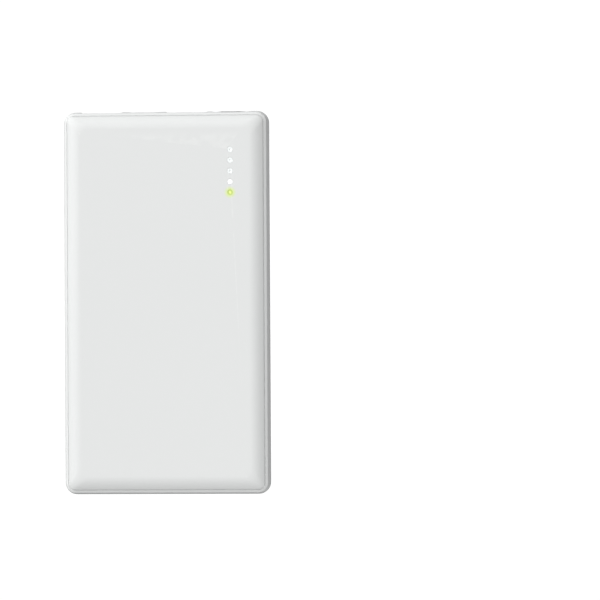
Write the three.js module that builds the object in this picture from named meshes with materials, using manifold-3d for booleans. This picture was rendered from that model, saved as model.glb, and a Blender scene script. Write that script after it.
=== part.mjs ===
// Slim power bank. Two plastic shells snap together round two flat lithium cells and a
// charging board with three sockets, a push button and a column of five status lights.
//
// Millimetres. X runs across the width, +Y points to the end with the sockets and +Z comes
// out of the cover. The origin is the middle of the flat underside.
import * as THREE from 'three';
import { mergeVertices } from 'three/addons/utils/BufferGeometryUtils.js';
import Module from 'manifold-3d';

const wasm = await Module();
wasm.setup();

// ---------------------------------------------------------------- driving dimensions

const WIDTH = 70;
const LENGTH = 130;
const HEIGHT = 14;
const CORNER_RADIUS = 4; // outer corners, seen from above
const SHELL_STEPS = 6; // facets round a corner of a shell
const SMALL_STEPS = 2; // facets round a corner of a small block
const FACETS = 12; // round a small turned piece
const REST_GAP = 0.1; // between pieces that rest on each other

// The bottom case, from its underside to the rim round the cover.
const FOOT_INSET = 4.4; // edge of the flat underside
const FOOT_RADIUS = 2.6;
const FOOT_ROUND_HEIGHT = 5;
const WALL_TOP = 6.5; // the wall leans inwards above this
const LEAN_TOP = 10.6;
const LEAN_INSET = 0.68;
const RIM_LOW = 10.85; // the rim slopes up from here
const RIM_INSET = 0.88;
const RIM_TOP = 11.35;
const RIM_LIP = 0.08; // flat along the rim's inner edge
const GROOVE_OUTER = 1.58; // inset of the rim's inner wall
const GROOVE_INNER = 1.75; // inset of the cover's edge
const SHELF_TOP = 10.6;
const WALL_INSET = 2.2; // inner face of the wall
const FLOOR_TOP = 1.4;
const FLOOR_BEVEL_TOP = 3.4;
const FLOOR_BEVEL_INSET = 3.6;
const FLOOR_CORNER = 1.2;

// The cover: a flat face that rolls over into its edge.
const ROLL_RADIUS = 6;
const ROLL_SWEEP = THREE.MathUtils.degToRad(50);
const EDGE_ROUND = 0.25;
const FACE_CORNER = 3; // corners of the flat face
const SKIRT_OUTER = 2.35;
const SKIRT_INNER = 3.35;
const SKIRT_BOTTOM = 9.2;
const SKIRT_CORNER = 0.8;
const CEILING = 12.5;
const CEILING_INSET = 5;
const CEILING_EASE = 1; // where the skirt turns into the ceiling

// Snap hooks along the skirt, with pockets for them in the case.
const HOOK_LENGTH = 6;
const HOOK_REACH = 0.45;
const HOOK_BOTTOM = 9.3;
const HOOK_TOP = 10.2;
const HOOK_CLEARANCE = 0.3;
const SIDE_HOOK_PLACES = [-42, 0, 40]; // along Y
const END_HOOK_PLACES = [-18, 18]; // along X

// Status lights, in a column near one long side.
const LIGHT_X = 22.25;
const FIRST_LIGHT_Y = 51.55;
const LIGHT_PITCH = 3.62;
const LIGHT_COUNT = 5;
const PIPE_RADIUS = 0.88;
const PIPE_HOLE_RADIUS = 0.95;
const FLANGE_RADIUS = 1.3;
const FLANGE_THICKNESS = 0.5;

// The charging board and what stands on it.
const BOARD_BOTTOM = 2.4;
const BOARD_THICKNESS = 1.2;
const BOARD_TOP = BOARD_BOTTOM + BOARD_THICKNESS;
const BOARD_WIDTH = 60;
const BOARD_START = 36.2;
const BOARD_END = 61.8;
const SCREW_PLACES = [[-27.5, 39.5], [27.5, 39.5], [27.5, 56.5], [-12.6, 51]];
const SCREW_RADIUS = 0.75;
const SCREW_HEAD_RADIUS = 1.5;
const BOSS_RADIUS = 2;

// Sockets and button, in the wall of the +Y end.
const SOCKET_MOUTH = 64.2;
const SOCKET_CLEARANCE = 0.3;
const USB_A = { width: 13.1, height: 5.7, round: 0.6, depth: 14, skin: 0.35 };
const USB_A_PLACES = [-22, 7];
const USB_C = { width: 8.94, height: 3.26, round: 1.6, depth: 7.3, skin: 0.3 };
const USB_C_PLACE = -7.5;
const SOCKET_Z = BOARD_TOP + REST_GAP + USB_A.height / 2;
const BUTTON_X = LIGHT_X;
const BUTTON = { width: 10, height: 3.4, face: 64.85, back: 61.9 };
const BUTTON_FLANGE = { width: 12, height: 5.2, round: 1.2 };
const BUTTON_STEM = { width: 3, height: 2, round: 0.3, end: 59.6 };
const BUTTON_GAP = 0.2;
const RECESS = { width: 13.4, height: 5.8, floor: 64.3 };
const SWITCH = { width: 6, depth: 3.5, height: 4.2, front: 58.6 };
const PLUNGER = { width: 2.8, height: 1.5, round: 0.3, inside: 0.9 };

// Two flat cells, stacked with their flat sides together.
const CELL = { width: 62.4, length: 91.5, thickness: 4.9, start: -61 };
const CELL_END = CELL.start + CELL.length;
const TERRACE = { width: 58, length: 3.5, thickness: 0.6 };
const TERRACE_END = CELL_END + TERRACE.length;
const STACK_MIDDLE = 6.9;
const TAPE_THICKNESS = 0.2;
const FOAM_THICKNESS = 0.3;
const PACK_SHEETS = { tapeSize: [50, 76], adhesiveSize: [46, 70], foamSize: [52, 74] };
const CELL_BOARD = { width: 48, length: 3.1, thickness: 0.9, bottom: 8 };
const FENCE = { width: 58, start: 34.95, end: 35.75, top: 6 };

// ---------------------------------------------------------------- finishes

const FINISHES = {
  whiteShell: { color: 0xe7e8e7, roughness: 0.34, metalness: 0 },
  milkyPlastic: { color: 0xf0f6f4, roughness: 0.28, metalness: 0 },
  whiteLight: { color: 0xfdfffe, roughness: 0.3, metalness: 0 },
  greenLight: { color: 0xe3f38f, roughness: 0.3, metalness: 0 },
  blackPlastic: { color: 0x17181a, roughness: 0.55, metalness: 0 },
  ledYellow: { color: 0xe9d77c, roughness: 0.4, metalness: 0 },
  boardGreen: { color: 0x14512f, roughness: 0.45, metalness: 0 },
  steel: { color: 0xb9bcc0, roughness: 0.28, metalness: 1 },
  nickel: { color: 0xc9c6bd, roughness: 0.32, metalness: 1 },
  ferrite: { color: 0x3a3c3f, roughness: 0.7, metalness: 0 },
  canAluminium: { color: 0xcfd2d4, roughness: 0.3, metalness: 1 },
  ceramicTan: { color: 0xa98a63, roughness: 0.5, metalness: 0 },
  pouchFoil: { color: 0xb4b8bb, roughness: 0.42, metalness: 0.9 },
  paperFilm: { color: 0xd9d4c4, roughness: 0.7, metalness: 0 },
  tapeFilm: { color: 0xe0dccb, roughness: 0.5, metalness: 0 },
  greyFoam: { color: 0x54575a, roughness: 0.95, metalness: 0 },
  redInsulation: { color: 0xb01e1a, roughness: 0.45, metalness: 0 },
  blackInsulation: { color: 0x141414, roughness: 0.45, metalness: 0 },
};

// ---------------------------------------------------------------- solids

// Turns a closed geometry into a solid that can be cut and joined.
function solid(geometry) {
  const bare = geometry.clone();
  bare.deleteAttribute('normal');
  bare.deleteAttribute('uv');
  const merged = mergeVertices(bare, 1e-5);
  const corners = Array.from(merged.index.array);
  const triangles = [];
  for (let start = 0; start < corners.length; start += 3) {
    const [a, b, c] = corners.slice(start, start + 3);
    if (a !== b && b !== c && c !== a) {
      triangles.push(a, b, c);
    }
  }
  return new wasm.Manifold(new wasm.Mesh({
    numProp: 3,
    vertProperties: new Float32Array(merged.attributes.position.array),
    triVerts: new Uint32Array(triangles),
  }));
}

function join(first, ...others) {
  return others.reduce((whole, next) => whole.add(next), first);
}

function cut(first, ...others) {
  return others.reduce((whole, next) => whole.subtract(next), first);
}

// Makes a named mesh from a solid, in the finish of that name.
function piece(name, shape, finishName) {
  const { vertProperties, triVerts } = shape.getMesh();
  const geometry = new THREE.BufferGeometry();
  geometry.setAttribute('position', new THREE.BufferAttribute(vertProperties, 3));
  geometry.setIndex(new THREE.BufferAttribute(triVerts, 1));
  geometry.computeVertexNormals();
  const mesh = new THREE.Mesh(geometry, new THREE.MeshStandardMaterial(FINISHES[finishName]));
  mesh.name = name;
  return mesh;
}

function assemble(...children) {
  const group = new THREE.Group();
  group.add(...children);
  return group;
}

// The corner points of a rectangle with round corners, anticlockwise from its +X side.
function roundedLoop(halfWidth, halfLength, radius, steps) {
  const corners = [[1, 1], [-1, 1], [-1, -1], [1, -1]];
  return corners.flatMap(([signX, signY], quarter) => {
    const centreX = signX * (halfWidth - radius);
    const centreY = signY * (halfLength - radius);
    const start = (quarter * Math.PI) / 2;
    const arc = new THREE.EllipseCurve(
      centreX, centreY, radius, radius, start, start + Math.PI / 2);
    return arc.getPoints(steps);
  });
}

// A closed body through rounded rectangles. Each level gives the inset from the full size,
// the height and the corner radius. The first and last levels are filled in.
function loft(width, length, levels, steps) {
  const loops = levels.map(({ inset, radius }) =>
    roundedLoop(width / 2 - inset, length / 2 - inset, radius, steps));
  const around = loops[0].length;
  const positions = loops.flatMap((loop, level) =>
    loop.flatMap((point) => [point.x, point.y, levels[level].z]));
  const index = [];
  for (let level = 0; level + 1 < loops.length; level += 1) {
    for (let step = 0; step < around; step += 1) {
      const here = level * around + step;
      const beside = level * around + ((step + 1) % around);
      index.push(here, beside, beside + around);
      index.push(here, beside + around, here + around);
    }
  }
  const lastStart = (loops.length - 1) * around;
  THREE.ShapeUtils.triangulateShape(loops[0], []).forEach(([a, b, c]) => {
    index.push(c, b, a);
    index.push(lastStart + a, lastStart + b, lastStart + c);
  });
  const geometry = new THREE.BufferGeometry();
  geometry.setAttribute('position', new THREE.Float32BufferAttribute(positions, 3));
  geometry.setIndex(index);
  return solid(geometry);
}

// The levels that a profile curve passes through, for loft. radiusAt gives the corner
// radius at an inset.
function curveLevels(curve, steps, radiusAt) {
  return curve.getPoints(steps).map(({ x, y }) => ({ inset: x, z: y, radius: radiusAt(x) }));
}

// A block with round corners and softened top and bottom edges, standing on z = 0.
function softBlock(width, length, height, corner, edge) {
  return loft(width, length, [
    { inset: edge, z: 0, radius: corner - edge / 2 },
    { inset: 0, z: edge, radius: corner },
    { inset: 0, z: height - edge, radius: corner },
    { inset: edge, z: height, radius: corner - edge / 2 },
  ], SMALL_STEPS);
}

function box(width, length, height, x, y, z) {
  const geometry = new THREE.BoxGeometry(width, length, height);
  return solid(geometry.translate(x, y, z + height / 2));
}

function roundedShape(width, height, radius) {
  const shape = new THREE.Shape();
  const [right, top] = [width / 2 - radius, height / 2 - radius];
  shape.absarc(right, top, radius, 0, Math.PI / 2);
  shape.absarc(-right, top, radius, Math.PI / 2, Math.PI);
  shape.absarc(-right, -top, radius, Math.PI, Math.PI * 1.5);
  shape.absarc(right, -top, radius, Math.PI * 1.5, Math.PI * 2);
  return shape;
}

function polygon(points) {
  return new THREE.Shape(points.map(([x, y]) => new THREE.Vector2(x, y)));
}

// Shapes have twice as many facets in a quarter turn as curveSegments.
function extrude(shape, depth) {
  return new THREE.ExtrudeGeometry(shape, { depth, bevelEnabled: false, curveSegments: 2 });
}

// A prism of an outline in X and Z that runs along Y from one place to another.
function prismAlongY(shape, from, to, x = 0, z = 0) {
  const geometry = extrude(shape, to - from);
  return solid(geometry.rotateX(Math.PI / 2).translate(x, to, z));
}

// A flat sheet with round corners.
function sheet(width, length, thickness, radius) {
  return solid(extrude(roundedShape(width, length, radius), thickness));
}

// A turned piece that stands on Z. Points are [radius, height], from the axis at the bottom
// to the axis at the top.
function turned(points) {
  const outline = points.map(([radius, height]) => new THREE.Vector2(radius, height));
  return solid(new THREE.LatheGeometry(outline, FACETS).rotateX(Math.PI / 2));
}

function rod(radius, bottom, top, x, y) {
  const geometry = new THREE.CylinderGeometry(radius, radius, top - bottom, FACETS);
  return solid(geometry.rotateX(Math.PI / 2).translate(x, y, (bottom + top) / 2));
}

// ---------------------------------------------------------------- snap hooks

// One hook, or the pocket for it when clearance is given, along the +X side. The other
// sides are turns of it.
function hookBar(length, clearance, turn) {
  const root = -0.3;
  const ramp = 0.2;
  const outline = polygon([
    [root, HOOK_BOTTOM - clearance],
    [0, HOOK_BOTTOM - clearance],
    [HOOK_REACH, HOOK_BOTTOM + (clearance > 0 ? -clearance : ramp)],
    [HOOK_REACH, HOOK_TOP - ramp + clearance],
    [0, HOOK_TOP + clearance / 2],
    [root, HOOK_TOP + clearance / 2],
  ]);
  const geometry = extrude(outline, length).rotateX(Math.PI / 2).translate(0, length / 2, 0);
  return turn(geometry);
}

// Hooks or pockets at every place. inset is the face that they stand on.
function hookBars(inset, length, clearance) {
  const sideX = WIDTH / 2 - inset;
  const endY = LENGTH / 2 - inset;
  const sides = SIDE_HOOK_PLACES.flatMap((place) => [
    hookBar(length, clearance, (bar) => bar.translate(sideX, place, 0)),
    hookBar(length, clearance, (bar) => bar.rotateZ(Math.PI).translate(-sideX, place, 0)),
  ]);
  const ends = END_HOOK_PLACES.map((place) =>
    hookBar(length, clearance, (bar) => bar.rotateZ(-Math.PI / 2).translate(place, -endY, 0)));
  return [...sides, ...ends].map(solid);
}

// ---------------------------------------------------------------- shells

function caseLevels() {
  const quarter = Math.PI / 2;
  const footRadius = (inset) =>
    THREE.MathUtils.lerp(CORNER_RADIUS, FOOT_RADIUS, inset / FOOT_INSET);
  const parallel = (inset) => CORNER_RADIUS - inset;
  const foot = new THREE.EllipseCurve(
    FOOT_INSET, FOOT_ROUND_HEIGHT, FOOT_INSET, FOOT_ROUND_HEIGHT, -quarter, -2 * quarter, true);
  const lean = new THREE.QuadraticBezierCurve(
    new THREE.Vector2(0, WALL_TOP),
    new THREE.Vector2(0, (WALL_TOP + LEAN_TOP) / 2),
    new THREE.Vector2(LEAN_INSET, LEAN_TOP));
  const rim = new THREE.QuadraticBezierCurve(
    new THREE.Vector2(LEAN_INSET, LEAN_TOP),
    new THREE.Vector2((LEAN_INSET + RIM_INSET) / 2, RIM_LOW),
    new THREE.Vector2(RIM_INSET, RIM_LOW));
  return [
    ...curveLevels(foot, 6, footRadius),
    ...curveLevels(lean, 3, parallel),
    ...curveLevels(rim, 2, parallel).slice(1),
    { inset: GROOVE_OUTER - RIM_LIP, z: RIM_TOP, radius: parallel(GROOVE_OUTER - RIM_LIP) },
    { inset: GROOVE_OUTER, z: RIM_TOP, radius: parallel(GROOVE_OUTER) },
    { inset: GROOVE_OUTER, z: SHELF_TOP, radius: parallel(GROOVE_OUTER) },
    { inset: WALL_INSET, z: SHELF_TOP, radius: parallel(WALL_INSET) },
    { inset: WALL_INSET, z: FLOOR_BEVEL_TOP, radius: parallel(WALL_INSET) },
    { inset: FLOOR_BEVEL_INSET, z: FLOOR_TOP, radius: FLOOR_CORNER },
  ];
}

function socketHole(socket, x) {
  const grow = 2 * SOCKET_CLEARANCE;
  const outline = roundedShape(
    socket.width + grow, socket.height + grow, socket.round + SOCKET_CLEARANCE);
  return prismAlongY(outline, LENGTH / 2 - 4, LENGTH / 2 + 1, x, SOCKET_Z);
}

function buttonOpening() {
  const outside = LENGTH / 2 + 1;
  const recess = roundedShape(RECESS.width, RECESS.height, RECESS.height / 2 - 0.01);
  const height = BUTTON.height + 2 * BUTTON_GAP;
  const hole = roundedShape(BUTTON.width + 2 * BUTTON_GAP, height, height / 2 - 0.01);
  return join(
    prismAlongY(recess, RECESS.floor, outside, BUTTON_X, SOCKET_Z),
    prismAlongY(hole, LENGTH / 2 - 4, outside, BUTTON_X, SOCKET_Z));
}

function bottomCase() {
  const pilotBottom = 0.9;
  const root = FLOOR_TOP - 0.2;
  const bossTop = BOARD_BOTTOM - REST_GAP;
  const bosses = SCREW_PLACES.map(([x, y]) => rod(BOSS_RADIUS, root, bossTop, x, y));
  const pilots = SCREW_PLACES.map(([x, y]) =>
    rod(SCREW_RADIUS + 0.15, pilotBottom, bossTop + 1, x, y));
  const fenceDepth = FENCE.end - FENCE.start;
  const fence = box(
    FENCE.width, fenceDepth, FENCE.top - root, 0, (FENCE.start + FENCE.end) / 2, root);
  const shell = join(loft(WIDTH, LENGTH, caseLevels(), SHELL_STEPS), fence, ...bosses);
  return cut(
    shell,
    ...pilots,
    ...USB_A_PLACES.map((x) => socketHole(USB_A, x)),
    socketHole(USB_C, USB_C_PLACE),
    buttonOpening(),
    ...hookBars(WALL_INSET, HOOK_LENGTH + 2 * HOOK_CLEARANCE, HOOK_CLEARANCE));
}

function coverLevels() {
  const faceInset = GROOVE_INNER + ROLL_RADIUS * Math.sin(ROLL_SWEEP);
  const edgeRadius = CORNER_RADIUS - GROOVE_INNER;
  const rollRadius = (inset) => THREE.MathUtils.mapLinear(
    inset, GROOVE_INNER, faceInset, edgeRadius, FACE_CORNER);
  const quarter = Math.PI / 2;
  const roll = new THREE.EllipseCurve(
    faceInset, HEIGHT - ROLL_RADIUS, ROLL_RADIUS, ROLL_RADIUS,
    quarter + ROLL_SWEEP * 0.96, quarter, true);
  const edgeTop = HEIGHT - ROLL_RADIUS * (1 - Math.cos(ROLL_SWEEP));
  return [
    { inset: CEILING_INSET, z: CEILING, radius: SKIRT_CORNER },
    { inset: SKIRT_INNER, z: CEILING - CEILING_EASE, radius: SKIRT_CORNER },
    { inset: SKIRT_INNER, z: SKIRT_BOTTOM, radius: SKIRT_CORNER },
    { inset: SKIRT_OUTER, z: SKIRT_BOTTOM, radius: CORNER_RADIUS - SKIRT_OUTER },
    { inset: SKIRT_OUTER, z: SHELF_TOP + REST_GAP, radius: CORNER_RADIUS - SKIRT_OUTER },
    { inset: GROOVE_INNER, z: SHELF_TOP + REST_GAP, radius: edgeRadius },
    { inset: GROOVE_INNER, z: edgeTop - EDGE_ROUND, radius: edgeRadius },
    ...curveLevels(roll, 7, rollRadius),
  ];
}

function lightPlaces() {
  return Array.from({ length: LIGHT_COUNT }, (_, row) => FIRST_LIGHT_Y - row * LIGHT_PITCH);
}

function topCover() {
  const endY = LENGTH / 2 - SKIRT_OUTER;
  const skirtCutDepth = 2.4;
  const cornerLeft = 2; // of the skirt, at each side of the cut
  const below = 1;
  const skirtCut = box(
    WIDTH - 2 * (SKIRT_INNER + cornerLeft), skirtCutDepth, SHELF_TOP - SKIRT_BOTTOM + below,
    0, endY - 0.5, SKIRT_BOTTOM - below);
  const ribThickness = 1.2;
  const ribLength = 9;
  const ribMiddle = SOCKET_MOUTH - USB_A.depth + 6;
  const ribBottom = BOARD_TOP + USB_A.height + 2 * REST_GAP;
  const ribHeight = CEILING + 0.2 - ribBottom; // its root is inside the cover
  const ribs = USB_A_PLACES.map((x) =>
    box(ribThickness, ribLength, ribHeight, x, ribMiddle, ribBottom));
  const holes = lightPlaces().map((y) =>
    rod(PIPE_HOLE_RADIUS, CEILING - 1, HEIGHT + 1, LIGHT_X, y));
  const hooks = hookBars(SKIRT_OUTER, HOOK_LENGTH, 0);
  const shell = loft(WIDTH, LENGTH, coverLevels(), SHELL_STEPS);
  return join(cut(shell, skirtCut, ...holes), ...hooks, ...ribs);
}

// ---------------------------------------------------------------- status lights

// A moulded pipe that carries one light to the face: a flange under the cover holds it,
// and its top has a shallow dimple.
function lightPipe() {
  const flangeTop = CEILING - 0.2;
  const flangeBottom = flangeTop - FLANGE_THICKNESS;
  const top = HEIGHT - 0.05;
  const chamfer = 0.1;
  const dimple = 0.15;
  return turned([
    [0, BOARD_TOP + 1.2],
    [PIPE_RADIUS, BOARD_TOP + 1.2],
    [PIPE_RADIUS, flangeBottom],
    [FLANGE_RADIUS, flangeBottom],
    [FLANGE_RADIUS, flangeTop],
    [PIPE_RADIUS, flangeTop],
    [PIPE_RADIUS, top - chamfer],
    [PIPE_RADIUS - chamfer, top],
    [PIPE_RADIUS * 0.6, top],
    [PIPE_RADIUS * 0.35, top - dimple],
    [0, top - dimple],
  ]);
}

// The black block that keeps each light to its own pipe.
function lightShield() {
  const width = 4.2;
  const start = FENCE.end + REST_GAP;
  const end = FIRST_LIGHT_Y + 1.6;
  const holeRadius = 1.05;
  const bottom = BOARD_TOP + REST_GAP;
  const top = CEILING - 1;
  const block = box(width, end - start, top - bottom, LIGHT_X, (start + end) / 2, bottom);
  return cut(block, ...lightPlaces().map((y) =>
    rod(holeRadius, bottom - 1, top + 1, LIGHT_X, y)));
}

function statusLights() {
  const finishes = ['milkyPlastic', 'milkyPlastic', 'milkyPlastic', 'whiteLight', 'greenLight'];
  const group = assemble(piece('light_shield', lightShield(), 'blackPlastic'));
  lightPlaces().forEach((y, row) => {
    const pipe = piece(`light_pipe_${row + 1}`, lightPipe(), finishes[row]);
    pipe.position.set(LIGHT_X, y, 0);
    const chipShape = softBlock(1.6, 0.8, 0.75, 0.12, 0.06);
    const led = piece(`indicator_led_${row + 1}`, chipShape, 'ledYellow');
    led.position.set(LIGHT_X, y, BOARD_TOP + REST_GAP);
    group.add(pipe, led);
  });
  return group;
}

// ---------------------------------------------------------------- sockets

// A drawn metal shell, open at its mouth on y = 0 and closed at the back.
function socketShell({ width, height, round, depth, skin }) {
  const outer = prismAlongY(roundedShape(width, height, round), -depth, 0);
  const hollow = roundedShape(width - 2 * skin, height - 2 * skin, round - skin);
  return cut(outer, prismAlongY(hollow, skin - depth, 1));
}

// The insulator inside a socket: a block at the back and a tongue that carries the contacts.
function socketTongue({ width, height, skin, depth }, blockLength, tongue) {
  const slack = 2 * (skin + REST_GAP);
  const back = skin + REST_GAP - depth;
  const block = roundedShape(width - slack, height - slack, tongue.blockRound);
  const blade = roundedShape(tongue.width, tongue.thickness, 0.2);
  return join(
    prismAlongY(block, back, back + blockLength),
    prismAlongY(blade, back + blockLength - 0.5, -tongue.recess, 0, tongue.rise));
}

function usbASockets() {
  const tongue = { width: 11.1, thickness: 1.84, recess: 0.9, rise: 0.98, blockRound: 0.3 };
  return assemble(...USB_A_PLACES.map((x, row) => {
    const socket = assemble(
      piece(`usb_a_shell_${row + 1}`, socketShell(USB_A), 'steel'),
      piece(`usb_a_tongue_${row + 1}`, socketTongue(USB_A, 4, tongue), 'whiteShell'));
    socket.position.set(x, SOCKET_MOUTH, SOCKET_Z);
    return socket;
  }));
}

// The small socket stands on four legs, which bring it level with its neighbours.
function usbCSocket() {
  const legX = USB_C.width / 2 - 0.16;
  const legBottom = BOARD_TOP + REST_GAP - SOCKET_Z;
  const legs = [-1, 1].flatMap((side) => [-2, -5.5].map((y) =>
    box(0.28, 1, -0.2 - legBottom, side * legX, y, legBottom)));
  const tongue = { width: 6.69, thickness: 0.7, recess: 0.7, rise: 0, blockRound: 1.1 };
  const socket = assemble(
    piece('usb_c_shell', join(socketShell(USB_C), ...legs), 'steel'),
    piece('usb_c_tongue', socketTongue(USB_C, 1.8, tongue), 'blackPlastic'));
  socket.position.set(USB_C_PLACE, SOCKET_MOUTH, SOCKET_Z);
  return socket;
}

// ---------------------------------------------------------------- push button

// The cap: a round-ended head in the case wall, a flange behind the wall and a stem.
function powerButton() {
  const head = roundedShape(BUTTON.width, BUTTON.height, BUTTON.height / 2 - 0.01);
  const flange = roundedShape(BUTTON_FLANGE.width, BUTTON_FLANGE.height, BUTTON_FLANGE.round);
  const stem = roundedShape(BUTTON_STEM.width, BUTTON_STEM.height, BUTTON_STEM.round);
  const flangeClearance = 0.15;
  const flangeFront = LENGTH / 2 - WALL_INSET - flangeClearance;
  const overlap = BUTTON.back + 0.3;
  return join(
    prismAlongY(head, overlap, BUTTON.face),
    prismAlongY(flange, BUTTON.back, flangeFront),
    prismAlongY(stem, BUTTON_STEM.end, overlap));
}

// The switch on the board, with a pocket that its plunger sinks into.
function switchBody() {
  const pocketDepth = 1.4;
  const slack = 0.1;
  const pocket = roundedShape(
    PLUNGER.width + 2 * slack, PLUNGER.height + 2 * slack, PLUNGER.round);
  const block = softBlock(SWITCH.width, SWITCH.depth, SWITCH.height, 0.4, 0.2);
  const rise = SOCKET_Z - BOARD_TOP - REST_GAP;
  const front = SWITCH.depth / 2;
  return cut(block, prismAlongY(pocket, front - pocketDepth, front + 1, 0, rise));
}

function pushButton() {
  const cap = piece('power_button', powerButton(), 'whiteShell');
  cap.position.set(BUTTON_X, 0, SOCKET_Z);
  const body = piece('switch_body', switchBody(), 'blackPlastic');
  body.position.set(BUTTON_X, SWITCH.front - SWITCH.depth / 2, BOARD_TOP + REST_GAP);
  const tip = BUTTON_STEM.end - REST_GAP;
  const plungerShape = roundedShape(PLUNGER.width, PLUNGER.height, PLUNGER.round);
  const plunger = piece(
    'switch_plunger', prismAlongY(plungerShape, SWITCH.front - PLUNGER.inside, tip), 'whiteShell');
  plunger.position.set(BUTTON_X, 0, SOCKET_Z);
  return assemble(cap, body, plunger);
}

// ---------------------------------------------------------------- charging board

function mainBoard() {
  const length = BOARD_END - BOARD_START;
  const holeRadius = SCREW_RADIUS + 0.25;
  const middle = (BOARD_START + BOARD_END) / 2;
  const holes = SCREW_PLACES.map(([x, y]) => rod(holeRadius, -1, 2, x, y - middle));
  const board = piece(
    'main_board', cut(sheet(BOARD_WIDTH, length, BOARD_THICKNESS, 1), ...holes), 'boardGreen');
  board.position.set(0, middle, BOARD_BOTTOM);
  return board;
}

// The film under the board, with clearance round each boss.
function insulationSheet() {
  const margin = 0.8;
  const thickness = 0.2;
  const middle = (BOARD_START + BOARD_END) / 2;
  const length = BOARD_END - BOARD_START - 2 * margin;
  const holes = SCREW_PLACES.map(([x, y]) => rod(BOSS_RADIUS + 0.4, -1, 1, x, y - middle));
  const film = sheet(BOARD_WIDTH - 2 * margin, length, thickness, 1);
  const sheetPiece = piece('insulation_sheet', cut(film, ...holes), 'paperFilm');
  sheetPiece.position.set(0, middle, FLOOR_TOP + 0.3);
  return sheetPiece;
}

// A pan-head screw with a cross recess.
function boardScrew() {
  const headHeight = 0.95;
  const tip = -BOARD_THICKNESS - 1.3;
  const screw = turned([
    [0, tip],
    [SCREW_RADIUS * 0.6, tip],
    [SCREW_RADIUS, tip + 0.4],
    [SCREW_RADIUS, REST_GAP],
    [SCREW_HEAD_RADIUS, REST_GAP],
    [SCREW_HEAD_RADIUS, headHeight * 0.6],
    [SCREW_HEAD_RADIUS * 0.65, headHeight],
    [0, headHeight],
  ]);
  const slotLength = 1.6;
  const slotWidth = 0.35;
  const slotDepth = 0.45;
  return cut(
    screw,
    box(slotLength, slotWidth, 1, 0, 0, headHeight - slotDepth),
    box(slotWidth, slotLength, 1, 0, 0, headHeight - slotDepth));
}

// A flat moulded chip with its corner mark.
function chip(size, height) {
  const markRadius = 0.3;
  const markPlace = size / 2 - 0.8;
  return cut(
    softBlock(size, size, height, 0.15, 0.08),
    rod(markRadius, height - 0.08, height + 1, -markPlace, markPlace));
}

// A wound choke in a square ferrite block whose top carries a round disc.
function powerInductor() {
  const size = 7;
  const height = 4;
  return join(softBlock(size, size, height - 0.5, 1.4, 0.2), rod(2.9, height - 0.8, height, 0, 0));
}

// A can capacitor on its square base, with a rolled groove near the bottom.
function canCapacitor() {
  const radius = 3.05;
  return join(
    softBlock(6.5, 6.5, 0.9, 0.9, 0.1),
    turned([
      [0, 0.5],
      [radius, 0.5],
      [radius, 1.5],
      [radius - 0.25, 1.8],
      [radius, 2.1],
      [radius, 5],
      [radius - 0.3, 5.3],
      [0, 5.3],
    ]));
}

function boardParts() {
  const parts = [
    ['power_inductor', powerInductor(), 'ferrite', 8, 43.2],
    ['controller_chip', chip(5, 0.85), 'blackPlastic', -4.5, 50.5],
    ['charger_chip', chip(4, 0.85), 'blackPlastic', -10.5, 43.8],
    ['power_transistor_1', chip(3, 0.8), 'blackPlastic', -4.8, 43.8],
    ['power_transistor_2', chip(3, 0.8), 'blackPlastic', 0, 43.8],
    ['can_capacitor_1', canCapacitor(), 'canAluminium', -22, 43],
    ['can_capacitor_2', canCapacitor(), 'canAluminium', 15.9, 45.5],
    ...[40, 42.5, 45, 47.5].map((y, row) =>
      [`chip_capacitor_${row + 1}`, softBlock(2, 1.25, 1.25, 0.15, 0.08), 'ceramicTan', -15.8, y]),
  ];
  return assemble(...parts.map(([name, shape, finishName, x, y]) => {
    const part = piece(name, shape, finishName);
    part.position.set(x, y, BOARD_TOP + REST_GAP);
    return part;
  }));
}

function boardScrews() {
  return assemble(...SCREW_PLACES.map(([x, y], row) => {
    const screw = piece(`board_screw_${row + 1}`, boardScrew(), 'steel');
    screw.position.set(x, y, BOARD_TOP);
    return screw;
  }));
}

// ---------------------------------------------------------------- battery pack

// One pouch cell, flat side on z = 0, with the sealed terrace that its tabs leave from.
function pouchCell() {
  const corner = 2.5;
  const fold = 1.4; // radius of the pouch's outer fold
  const edge = new THREE.EllipseCurve(
    fold, CELL.thickness - fold, fold, fold, Math.PI, Math.PI / 2, true);
  const pouch = loft(CELL.width, CELL.length, [
    { inset: 0.3, z: 0, radius: corner - 0.2 },
    { inset: 0, z: 0.3, radius: corner },
    ...curveLevels(edge, 3, (inset) => corner - inset / 2),
  ], SMALL_STEPS + 1);
  const terraceRoot = 1;
  const terraceY = CELL.length / 2 + (TERRACE.length - terraceRoot) / 2;
  return join(pouch, box(
    TERRACE.width, TERRACE.length + terraceRoot, TERRACE.thickness, 0, terraceY, 0));
}

// The nickel strip that joins one pole of both cells and folds over the small board.
function cellTab() {
  const thickness = 0.3;
  const footStart = TERRACE_END + REST_GAP;
  const spineStart = TERRACE_END + 0.4;
  const spineEnd = spineStart + thickness;
  const foldStart = TERRACE_END - 2;
  const boardTop = CELL_BOARD.bottom + CELL_BOARD.thickness;
  const [lowFoot, highFoot] = [STACK_MIDDLE - 0.65, STACK_MIDDLE + 0.35];
  const foldBottom = boardTop + REST_GAP;
  const width = 6;
  return solid(extrude(polygon([
    [footStart, lowFoot],
    [spineEnd, lowFoot],
    [spineEnd, foldBottom + thickness],
    [foldStart, foldBottom + thickness],
    [foldStart, foldBottom],
    [spineStart, foldBottom],
    [spineStart, highFoot + thickness],
    [footStart, highFoot + thickness],
    [footStart, highFoot],
    [spineStart, highFoot],
    [spineStart, lowFoot + thickness],
    [footStart, lowFoot + thickness],
  ]), width).rotateY(Math.PI / 2).rotateX(Math.PI / 2).translate(-width / 2, 0, 0));
}

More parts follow.
